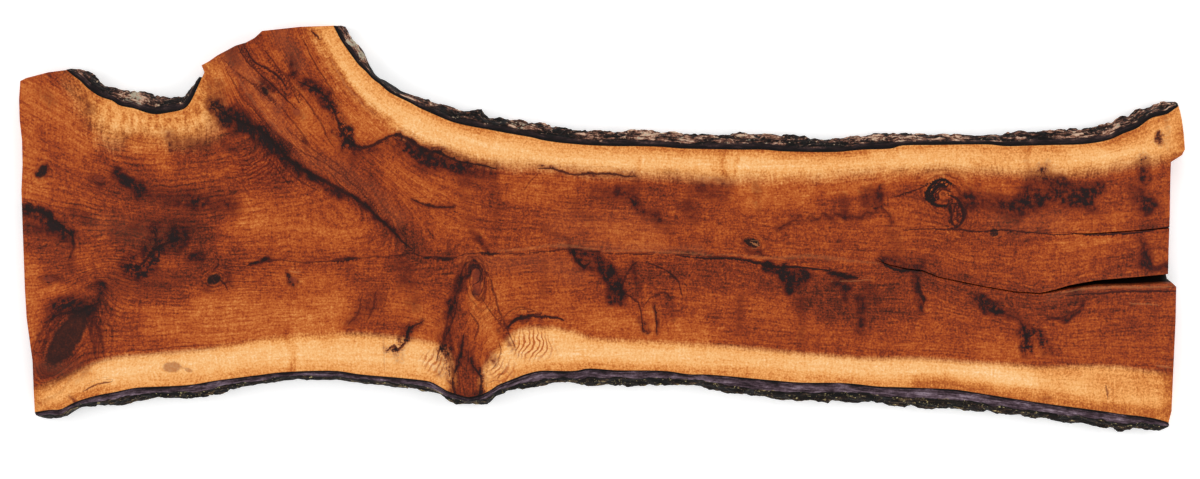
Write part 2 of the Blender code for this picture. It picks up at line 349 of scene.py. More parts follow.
def read_grid(heights, px, py):
    """Smooth (cubic) reading of a fitted grid at any points."""
    cx, cy, tx, ty = grid_place(px, py)

    def weights(t):
        return (
            (-t + 2 * t**2 - t**3) / 2,
            (2 - 5 * t**2 + 3 * t**3) / 2,
            (t + 4 * t**2 - 3 * t**3) / 2,
            (-(t**2) + t**3) / 2,
        )

    total = np.zeros_like(px)
    for i, wx in enumerate(weights(tx)):
        for j, wy in enumerate(weights(ty)):
            total += wx * wy * heights[cx + i - 1, cy + j - 1]
    return total


growth_grid = spread(GROWTH_LINES)
along_grid = spread(ALONG_LINES)
print("growth spans", growth_grid.min().round(), "to", growth_grid.max().round(), "pixels")

# %% [markdown]
# ## Knots
#
# A knot is a branch cut across. Its own rings run round it, and the trunk's grain
# parts on either side. Each knot here has a place, the two radii of its core, and
# how far it is turned, clockwise. The grain is bent by reading the growth map not
# at the point itself but nearer the knot's middle, which is exactly how streamlines
# pass a post.

# %% The knots of this slab
Knot = namedtuple("Knot", "x y long narrow turn dark ring")
KNOTS = {
    "big_oval": Knot(68, 337, 33, 12, -57, 0.82, 0.5),
    "round_hole": Knot(214, 279, 7, 6, 0, 1.0, 0.7),
    "beside_pith": Knot(293, 279, 4, 3, 0, 0.6, 0.3),
    "left_small": Knot(42, 173, 6, 3.5, -70, 0.8, 0.3),
    "left_low": Knot(48, 279, 6, 2.5, 0, 0.6, 0.3),
    "swirl_left": Knot(99, 179, 5, 3, 20, 0.3, 0.5),
    "limb_comma": Knot(265, 91, 4.5, 2.8, 50, 0.95, 0.5),
    "limb_round": Knot(297, 112, 4.5, 3.6, 60, 0.6, 0.3),
    "almond": Knot(753, 243, 8, 4.5, 25, 1.0, 0.6),
    "curl_upper": Knot(943, 194, 12, 10, 20, 0.1, 0.8),
    "curl_lower": Knot(959, 213, 12, 6.5, 80, 0.1, 0.8),
    "check_knot": Knot(995, 233, 5, 3.5, 0, 0.95, 0.2),
    "end_ring": Knot(1158, 258, 8, 7, 0, 0.0, 0.35),
    "sap_spot": Knot(172, 367, 9, 5, 0, 0.55, 0.0),
    "sap_spot_tail": Knot(188, 370, 5, 2, 10, 0.45, 0.0),
    "branch_head": Knot(477, 282, 15, 6, 80, 0.55, 0.9),
}
# How far the grain is pushed aside, and over how many times the core's radius
KNOT_PUSH = 0.8
KNOT_PUSH_REACH = 5.0


def knot_distance(knot, px, py):
    """Distance from a knot's middle, 1 on the rim of its core, and the offsets."""
    dx, dy = px - knot.x, py - knot.y
    cos, sin = math.cos(math.radians(knot.turn)), math.sin(math.radians(knot.turn))
    lengthwise = (dx * cos + dy * sin) / knot.long
    crosswise = (dy * cos - dx * sin) / knot.narrow
    return np.hypot(lengthwise, crosswise), dx, dy


def part_round_knots(px, py):
    """The places where the growth map is read, so that the grain parts round knots."""
    shift_x, shift_y = np.zeros_like(px), np.zeros_like(py)
    for knot in KNOTS.values():
        reach, dx, dy = knot_distance(knot, px, py)
        share = 1.0 / np.maximum(reach * KNOT_PUSH, 1.0) ** 2
        share *= np.exp(-((reach / KNOT_PUSH_REACH) ** 2))
        shift_x -= dx * share
        shift_y -= dy * share
    return px + shift_x, py + shift_y


print("knots:", len(KNOTS))

# %% [markdown]
# ## The wood's fine mesh
#
# The solid model's wood has long thin faces, which can't carry a figure. A sheet
# from create_grid, pulled down into a block, is planed to the solid by a Boolean
# intersection, so the outline, the split and the check stay exactly the solid's.
# The block is planed a tenth of a millimetre under both faces, because faces that
# coincide confuse a Boolean. Bisecting the walls and the underside gives those
# faces points too.

# %% Plane a gridded block to the slab
# Cells of the top face and of the underside, and what the block has to spare, in metres
CELL = 0.0035
UNDER_CELL = 0.016
PLANED = 0.0001
MARGIN = 0.012
WALL_SLICES = 6
MERGE_DISTANCE = 1e-6
# A face whose normal stands up more than this is a sawn face, and else a wall
LEVEL = 0.9


def merged_copy(node_name):
    """A bmesh copy of a solid with its loose triangles joined."""
    mesh = bmesh.new()
    mesh.from_mesh(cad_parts[node_name].data)
    bmesh.ops.remove_doubles(mesh, verts=mesh.verts, dist=MERGE_DISTANCE)
    return mesh


def object_from(mesh, name):
    """Turn a bmesh into an object in the scene."""
    data = bpy.data.meshes.new(name)
    mesh.to_mesh(data)
    mesh.free()
    thing = bpy.data.objects.new(name, data)
    bpy.context.scene.collection.objects.link(thing)
    return thing


def applied_mesh(thing):
    """The mesh of an object with its modifiers applied."""
    depsgraph = bpy.context.evaluated_depsgraph_get()
    return bpy.data.meshes.new_from_object(thing.evaluated_get(depsgraph))


def gridded_block():
    """A closed block with a fine grid on top, wider than the slab."""
    width = wood_high.x - wood_low.x + 2 * MARGIN
    depth = wood_high.y - wood_low.y + 2 * MARGIN
    block = bmesh.new()
    bmesh.ops.create_grid(
        block, x_segments=round(width / CELL), y_segments=round(depth / CELL), size=0.5
    )
    bmesh.ops.scale(block, vec=(width, depth, 1.0), verts=block.verts)
    middle = (wood_low + wood_high) / 2
    bmesh.ops.translate(
        block, vec=(middle.x, middle.y, THICKNESS - PLANED), verts=block.verts
    )
    rim = [edge for edge in block.edges if edge.is_boundary]
    walls = bmesh.ops.extrude_edge_only(block, edges=rim)["geom"]
    foot = [item for item in walls if isinstance(item, bmesh.types.BMVert)]
    bmesh.ops.translate(block, vec=(0, 0, 2 * PLANED - THICKNESS), verts=foot)
    foot_edges = [edge for edge in block.edges if edge.is_boundary]
    bmesh.ops.contextual_create(block, geom=foot_edges)
    bmesh.ops.recalc_face_normals(block, faces=block.faces)
    return block


def slice_faces(mesh, wanted, points, normal):
    """Bisect only some faces by a row of parallel planes."""
    for point in points:
        faces = [face for face in mesh.faces if wanted(face)]
        rims = {edge for face in faces for edge in face.edges}
        corners = {vert for face in faces for vert in face.verts}
        geometry = [*faces, *rims, *corners]
        bmesh.ops.bisect_plane(
            mesh, geom=geometry, dist=MERGE_DISTANCE, plane_co=point, plane_no=normal
        )


def planed_wood():
    """The wood's visible mesh: the block cut to the solid, with sliced walls."""
    block = object_from(gridded_block(), "wood_block")
    solid = object_from(merged_copy("wood"), "wood_solid")
    cut = block.modifiers.new("to_solid", "BOOLEAN")
    cut.operation = "INTERSECT"
    cut.solver = "MANIFOLD"
    cut.object = solid
    data = applied_mesh(block)
    mesh = bmesh.new()
    mesh.from_mesh(data)
    for thing in (block, solid):
        bpy.data.objects.remove(thing, do_unlink=True)
    bpy.data.meshes.remove(data)
    levels = [(0, 0, THICKNESS * i / WALL_SLICES) for i in range(1, WALL_SLICES)]
    slice_faces(mesh, lambda face: abs(face.normal.z) < LEVEL, levels, (0, 0, 1))
    across = [(x, 0, 0) for x in np.arange(wood_low.x, wood_high.x, UNDER_CELL)]
    slice_faces(mesh, lambda face: face.normal.z < -LEVEL, across, (1, 0, 0))
    down = [(0, y, 0) for y in np.arange(wood_low.y, wood_high.y, UNDER_CELL)]
    slice_faces(mesh, lambda face: face.normal.z < -LEVEL, down, (0, 1, 0))
    bmesh.ops.triangulate(mesh, faces=[face for face in mesh.faces if len(face.verts) > 4])
    return mesh


wood_mesh = planed_wood()
open_edges = sum(1 for edge in wood_mesh.edges if not edge.is_manifold)
wood_triangles = sum(len(face.verts) - 2 for face in wood_mesh.faces)
print("wood:", len(wood_mesh.verts), "points,", wood_triangles, "triangles,", open_edges, "open")

# %% [markdown]
# ## Marks
#
# Stains and cracks are listed one by one, like notes on a map. A row holds a half
# width, a strength and the points of a path, in photograph pixels. A soft mark has
# one of four kinds. A line is thin and sharp and tapers at its ends, and it is
# lighter than the wood where its strength is negative. Both become numbers on the
# mesh's points, and the material turns the numbers into colour with ragged edges.

# %% Soft stains and tones
MARKS = {
    "dark": (
        # Dark mineral stains, near black: the crotch seam and the left stem
        (11, 0.8, (213, 105), (224, 110), (238, 114), (250, 124)),
        (12, 0.85, (226, 120), (242, 126), (258, 132)),
        (11, 1.0, (264, 137), (270, 143), (278, 150)),
        (7, 0.9, (284, 157), (296, 165), (310, 175)),
        (7, 0.7, (318, 180), (328, 190), (338, 194)),
        (5, 0.6, (345, 193), (357, 199), (372, 211), (388, 227), (400, 238)),
        (6, 0.85, (38, 174), (44, 171)),
        (6, 0.7, (94, 176), (99, 182)),
        (10, 0.9, (118, 174), (126, 182), (138, 190)),
        (13, 0.5, (145, 193), (172, 198), (196, 196)),
        (13, 0.55, (190, 203), (212, 200), (230, 207)),
        (5, 0.6, (90, 106), (91, 111)),
        (8, 0.35, (40, 90), (52, 104)),
        (9, 0.4, (172, 136), (190, 142), (208, 145)),
        (4, 0.6, (173, 145), (173, 149)),
        (5, 0.5, (223, 143), (231, 150)),
        (7, 0.4, (212, 84), (226, 93)),
        (9, 0.95, (25, 210), (40, 213), (54, 222), (68, 234)),
        (11, 0.45, (28, 226), (46, 228), (62, 236)),
        (7, 0.45, (72, 242), (72, 266)),
        (9, 0.4, (76, 210), (92, 222)),
        (13, 1.0, (130, 264), (142, 268), (152, 258)),
        (10, 0.85, (152, 250), (166, 243), (182, 236)),
        (6, 0.6, (156, 226), (157, 244)),
        (6, 0.55, (171, 234), (173, 248)),
        (15, 0.4, (120, 232), (150, 225), (190, 226)),
        (13, 0.35, (110, 285), (140, 288), (175, 280)),
        (6, 0.75, (189, 258), (202, 257)),
        (5, 0.6, (226, 274), (231, 286)),
        (5, 0.6, (208, 286), (211, 292)),
        (5, 0.75, (253, 262), (270, 262)),
        (5, 0.55, (289, 279), (297, 279)),
        (4, 0.6, (288, 273), (290, 284)),
        (6, 0.8, (43, 279), (54, 279)),
        (11, 0.95, (52, 312), (64, 307), (76, 303)),
        (6, 0.95, (98, 284), (97, 300), (90, 311)),
        (7, 0.8, (76, 316), (86, 310)),
        (9, 0.4, (93, 318), (99, 338), (97, 356)),
        (9, 0.3, (42, 330), (34, 352)),
        (12, 0.35, (44, 372), (64, 373), (84, 368)),
        (4, 0.5, (66, 397), (76, 400)),
        (5, 0.6, (262, 87), (267, 94)),
        (7, 0.4, (232, 50), (236, 62)),
        (6, 0.5, (291, 58), (291, 78)),
        (7, 0.35, (294, 110), (300, 116)),
        (9, 0.45, (302, 84), (318, 92), (330, 102)),
        (8, 0.4, (337, 116), (345, 134)),
        (11, 0.5, (402, 147), (430, 154), (462, 163)),
        (5, 0.6, (262, 82), (272, 88)),
        (4, 0.5, (284, 94), (288, 98)),
        (5, 0.5, (292, 66), (294, 76)),
        (4, 0.5, (304, 140), (308, 146)),
        # The middle: under the limb, the branch that was cut off, and the pith
        (10, 0.75, (313, 88), (328, 102), (338, 122), (347, 142)),
        (8, 0.6, (348, 145), (366, 150), (384, 142), (398, 138)),
        (11, 0.6, (400, 143), (412, 149), (430, 157), (452, 165)),
        (9, 0.55, (452, 163), (474, 168), (496, 172)),
        (11, 0.35, (420, 160), (450, 170), (480, 178)),
        (8, 0.4, (340, 150), (352, 158)),
        (4, 0.6, (412, 199), (421, 204), (437, 207), (453, 207)),
        (6, 0.3, (496, 165), (496, 225)),
        (7, 0.3, (463, 175), (466, 225)),
        (5, 0.6, (471, 233), (482, 242), (491, 253)),
        (4, 0.45, (543, 230), (556, 234), (567, 237), (571, 248)),
        (4, 0.65, (539, 168), (552, 170), (562, 172)),
        (4, 0.55, (583, 174), (600, 173), (615, 174), (634, 176)),
        (9, 0.4, (593, 190), (606, 196), (616, 194)),
        (8, 0.5, (620, 188), (632, 196), (636, 208)),
        (6, 0.6, (638, 211), (648, 214), (660, 215)),
        (7, 0.4, (660, 220), (672, 228)),
        (9, 0.3, (575, 205), (590, 220)),
        (8, 0.4, (352, 322), (358, 308)),
        (8, 0.45, (368, 312), (376, 294)),
        (9, 0.45, (399, 262), (408, 270)),
        (10, 0.4, (404, 284), (414, 292), (412, 304)),
        (6, 0.7, (388, 349), (398, 348), (406, 340), (411, 329), (421, 324)),
        (8, 0.8, (405, 338), (411, 327)),
        (8, 0.35, (398, 355), (404, 346)),
        (5, 0.7, (472, 262), (474, 273), (479, 280)),
        (5, 0.7, (476, 290), (479, 295)),
        (6, 0.7, (465, 270), (458, 290), (451, 306)),
        (9, 0.62, (451, 306), (446, 326), (445, 348)),
        (8, 0.6, (445, 348), (450, 366), (453, 388)),
        (6, 0.4, (438, 352), (440, 372)),
        (7, 0.85, (464, 354), (470, 360), (477, 368)),
        (4, 0.7, (463, 338), (461, 352), (457, 368)),
        (5, 0.7, (480, 374), (482, 384), (478, 396)),
        (5, 0.6, (458, 397), (470, 400), (480, 396)),
        (5, 0.5, (486, 352), (492, 360)),
        (5, 0.55, (500, 330), (510, 342), (516, 350)),
        (4, 0.65, (510, 326), (518, 319), (528, 317)),
        # The big root-shaped stain under the pith
        (6, 0.8, (571, 252), (586, 253), (602, 259), (611, 270)),
        (6, 0.8, (576, 260), (586, 267)),
        (10, 0.95, (600, 264), (608, 276), (614, 288), (616, 300)),
        (7, 0.6, (620, 276), (621, 292)),
        (6, 0.6, (632, 262), (638, 276), (640, 288)),
        (4, 0.65, (640, 318), (643, 332)),
        (4, 0.6, (655, 303), (656, 333)),
        (5, 0.35, (670, 300), (672, 318)),
        (5, 0.35, (541, 262), (543, 292)),
        # Black blots right of the middle
        (6, 1.0, (765, 266), (774, 269), (784, 270)),
        (10, 1.0, (784, 273), (793, 278), (802, 276)),
        (7, 0.95, (787, 284), (791, 288)),
        (5, 1.0, (832, 273), (842, 275), (853, 276)),
        (8, 0.8, (838, 286), (846, 289)),
        (5, 0.5, (843, 294), (847, 302)),
        (6, 0.7, (860, 300), (861, 316), (859, 334)),
        (9, 0.4, (868, 288), (876, 300)),
        (8, 0.4, (801, 298), (801, 340)),
        (5, 0.55, (738, 297), (738, 327)),
        (4, 0.6, (748, 250), (756, 253), (763, 254)),
        (8, 0.65, (882, 259), (898, 262), (918, 266)),
        (6, 0.7, (918, 276), (919, 292), (922, 308)),
        (9, 0.35, (893, 232), (896, 252)),
        # Smoke above the pith on the right
        (14, 0.5, (698, 188), (712, 190), (724, 188)),
        (10, 0.5, (686, 204), (694, 216)),
        (7, 0.5, (636, 178), (634, 196), (640, 208)),
        (5, 0.3, (675, 172), (675, 197)),
        (5, 0.3, (758, 182), (759, 212)),
        (7, 0.5, (842, 197), (846, 208)),
        (8, 0.55, (866, 193), (868, 204)),
        (8, 0.62, (880, 192), (882, 207)),
        (4, 0.5, (888, 214), (893, 224)),
        (4, 0.55, (777, 229), (788, 224), (796, 219)),
        (5, 0.55, (798, 218), (803, 222)),
        (5, 0.55, (812, 218), (818, 222)),
        (5, 0.55, (826, 217), (832, 221)),
        (5, 0.55, (840, 216), (850, 219)),
        (4, 0.5, (852, 218), (868, 215), (876, 210)),
        (7, 0.5, (964, 196), (972, 204)),
        (13, 0.52, (968, 197), (984, 201), (1000, 206)),
        (13, 0.75, (1010, 209), (1022, 203), (1030, 198)),
        (11, 0.75, (1036, 204), (1048, 197)),
        (8, 0.6, (1030, 176), (1032, 188)),
        (12, 0.72, (1043, 173), (1054, 181), (1060, 188)),
        (13, 0.95, (1066, 196), (1082, 199)),
        (11, 0.9, (1084, 193), (1095, 188)),
        (6, 0.6, (1084, 206), (1092, 212)),
        (5, 0.25, (1026, 148), (1027, 166)),
        (6, 0.75, (1143, 160), (1145, 178)),
        (12, 0.78, (1137, 193), (1148, 205)),
        (8, 0.65, (1142, 240), (1146, 262)),
        (6, 0.6, (1148, 268), (1166, 269)),
        (4, 0.7, (1157, 134), (1160, 142)),
        (5, 0.3, (1166, 122), (1168, 150)),
        # The fork-shaped stain near the right end
        (9, 1.0, (980, 300), (988, 307), (996, 310)),
        (5, 0.55, (1000, 312), (1012, 316), (1021, 322)),
        (8, 1.0, (1026, 332), (1026, 342), (1025, 352)),
        (8, 0.9, (1038, 334), (1044, 342), (1047, 350)),
        (4, 0.6, (1050, 319), (1060, 319), (1067, 315)),
        (4, 0.65, (1070, 316), (1078, 310), (1084, 302)),
        (5, 0.6, (1068, 292), (1080, 288)),
        (3, 0.55, (1047, 398), (1050, 398)),
    ),
    "brown": (
        # Under the notch's bark
        (5, 0.4, (84, 98), (88, 114), (92, 134)),
        (6, 0.45, (112, 138), (126, 140), (142, 141)),
        # Places where the heartwood is browner and deeper
        (14, 0.6, (213, 105), (240, 122), (258, 128), (276, 146)),
        (11, 0.6, (276, 146), (306, 171), (321, 179), (357, 199), (388, 227), (411, 248)),
        (18, 0.5, (240, 140), (262, 160), (285, 178)),
        (26, 0.55, (130, 186), (165, 196), (212, 206)),
        (22, 0.75, (128, 240), (160, 236), (195, 238)),
        (20, 0.45, (140, 284), (175, 286), (200, 272), (230, 262)),
        (20, 0.7, (104, 284), (100, 302), (92, 312)),
        (22, 0.4, (30, 218), (60, 228), (95, 218)),
        (22, 0.4, (36, 240), (60, 262), (98, 264)),
        (20, 0.3, (88, 100), (92, 125)),
        (16, 0.3, (175, 138), (205, 146)),
        (14, 0.4, (224, 52), (240, 60)),
        (18, 0.35, (238, 56), (262, 76), (285, 95)),
        (12, 0.5, (291, 48), (290, 72)),
        (5, 0.6, (243, 44), (254, 62), (270, 78), (290, 94)),
        (4, 0.6, (228, 60), (240, 84), (262, 112), (284, 136)),
        (4, 0.5, (302, 56), (314, 76), (330, 98)),
        (4, 0.5, (322, 44), (336, 68), (352, 92), (372, 112)),
        (18, 0.3, (318, 70), (345, 112)),
        (18, 0.45, (322, 150), (345, 165), (372, 176)),
        (24, 0.6, (55, 320), (66, 345), (56, 365)),
        (24, 0.4, (45, 388), (85, 382)),
        (16, 0.3, (94, 106), (104, 122), (130, 130), (160, 132), (195, 124), (208, 92)),
        (2.5, 0.7, (100, 100), (98, 122)),
        (3, 0.8, (111, 106), (109, 130)),
        (2.5, 0.8, (122, 112), (121, 136)),
        (2.5, 0.7, (131, 114), (131, 138)),
        (2, 0.7, (150, 118), (150, 134)),
        (2, 0.7, (159, 119), (159, 132)),
        (2, 0.7, (167, 118), (168, 130)),
        (3, 0.7, (141, 116), (141, 140)),
        (3, 0.5, (176, 118), (178, 136)),
        (3, 0.5, (190, 112), (198, 130)),
        (2.5, 0.8, (199, 96), (212, 112)),
        (2, 0.8, (196, 104), (204, 128)),
        (2, 0.8, (184, 112), (190, 130)),
        (5, 0.3, (88, 96), (98, 112)),
        (12, 0.35, (310, 264), (350, 262)),
        (20, 0.2, (356, 290), (376, 305)),
        (16, 0.5, (392, 236), (420, 244), (450, 262), (462, 274)),
        (16, 0.3, (398, 262), (430, 280), (440, 305)),
        (14, 0.45, (420, 152), (450, 166), (480, 172)),
        (22, 0.3, (490, 200), (496, 240)),
        (24, 0.55, (594, 264), (625, 282), (660, 276)),
        (14, 0.3, (560, 240), (600, 240)),
        (20, 0.2, (600, 190), (650, 196), (720, 212)),
        (24, 0.5, (690, 262), (760, 274), (840, 284), (920, 276)),
        (26, 0.6, (815, 300), (860, 312), (900, 306)),
        (14, 0.4, (828, 212), (860, 208), (890, 206)),
        (22, 0.45, (905, 196), (940, 205), (975, 202)),
        (22, 0.4, (1020, 200), (1080, 190), (1100, 192), (1145, 200)),
        (22, 0.25, (920, 240), (1000, 226), (1040, 216)),
        (22, 0.6, (950, 290), (1000, 292), (1040, 302), (1070, 296)),
        (18, 0.35, (1010, 330), (1050, 335)),
        (14, 0.5, (1090, 290), (1130, 288), (1170, 290)),
        (20, 0.25, (1110, 316), (1140, 318), (1172, 322)),
        (18, 0.35, (1110, 262), (1165, 256)),
        (14, 0.3, (1140, 225), (1165, 225)),
        (12, 0.45, (463, 285), (458, 320), (460, 350), (465, 370)),
        (14, 0.8, (466, 372), (467, 398)),
        # Ambers of the sapwood: the horn, the right end, and the strip along the lower bark
        (18, 0.5, (1120, 138), (1150, 136), (1178, 132)),
        (11, 0.6, (920, 384), (1000, 394), (1080, 404), (1172, 416)),
        (14, 0.5, (1100, 385), (1172, 392)),
        (16, 0.45, (1050, 380), (1170, 388)),
        (8, 0.45, (640, 143), (760, 150), (860, 152)),
        (10, 0.3, (980, 160), (1060, 156)),
        (12, 0.4, (712, 150), (722, 168)),
        (3.5, 0.7, (722, 149), (723, 172)),
        (2.5, 0.5, (734, 156), (735, 174)),
        (4, 0.5, (290, 330), (292, 370)),
        (3, 0.4, (640, 160), (641, 174)),
        (4, 0.4, (1028, 146), (1028, 168)),
    ),
    "orange": (
        # Streaks of the limb
        (4, 0.7, (236, 66), (250, 92), (272, 120), (294, 146)),
        (3.5, 0.7, (276, 56), (290, 76), (306, 96)),
        (4, 0.7, (330, 60), (346, 86), (364, 106)),
        # Brighter orange places
        (26, 0.5, (250, 220), (290, 228), (340, 236)),
        (20, 0.6, (300, 284), (326, 286), (340, 296)),
        (20, 0.9, (205, 310), (260, 312), (330, 314)),
        (18, 0.75, (160, 322), (220, 332), (330, 326)),
        (18, 0.6, (303, 110), (316, 140), (338, 150)),
        (18, 0.4, (396, 176), (410, 188), (430, 190)),
        (18, 0.5, (520, 190), (560, 188)),
        (20, 0.8, (30, 95), (60, 112), (80, 140)),
        (18, 0.6, (26, 130), (34, 190)),
        (16, 0.6, (26, 262), (34, 330)),
        (14, 0.4, (80, 255), (100, 268)),
        (14, 0.9, (138, 142), (154, 152), (164, 164)),
        (16, 0.9, (204, 66), (214, 74), (222, 84)),
        (18, 0.4, (240, 66), (262, 74)),
        (16, 0.6, (314, 40), (332, 80), (352, 110)),
        (20, 0.8, (346, 118), (366, 128), (384, 130)),
        (7, 0.8, (270, 90), (276, 96)),
        (8, 0.8, (46, 287), (58, 287)),
        (8, 0.6, (300, 125), (306, 132)),
        (20, 0.4, (500, 290), (540, 305), (590, 325)),
        (18, 0.4, (400, 300), (430, 320), (432, 335)),
        (12, 0.8, (474, 300), (484, 320), (492, 345)),
        (8, 0.7, (468, 268), (472, 284)),
        (9, 0.7, (650, 300), (652, 310)),
        (18, 0.6, (600, 322), (640, 332), (700, 334)),
        (16, 0.35, (600, 238), (650, 236)),
        (18, 0.7, (752, 196), (775, 190), (800, 188)),
        (12, 0.5, (830, 186), (860, 184)),
        (12, 0.5, (880, 178), (960, 180), (1010, 186)),
        (16, 0.3, (980, 345), (1040, 352)),
        (16, 0.3, (1060, 234), (1100, 240)),
        (7, 0.8, (939, 192), (945, 197)),
        (8, 0.35, (1152, 258), (1164, 258)),
    ),
    "mauve": (
        # Pinkish, greyer places
        (10, 0.5, (275, 122), (306, 153), (352, 178), (398, 217)),
        (6, 0.5, (560, 244), (600, 247), (650, 248), (700, 251)),
        (12, 0.6, (283, 36), (296, 62)),
        (12, 0.7, (226, 52), (246, 76), (276, 108)),
        (8, 0.6, (40, 367), (84, 370)),
        (14, 0.35, (100, 225), (160, 235)),
        (18, 0.3, (560, 225), (650, 228)),
        (12, 0.4, (470, 262), (540, 262), (575, 275)),
        (8, 0.5, (1050, 295), (1105, 285), (1170, 283)),
        (12, 0.35, (1000, 225), (1060, 222)),
    ),
}

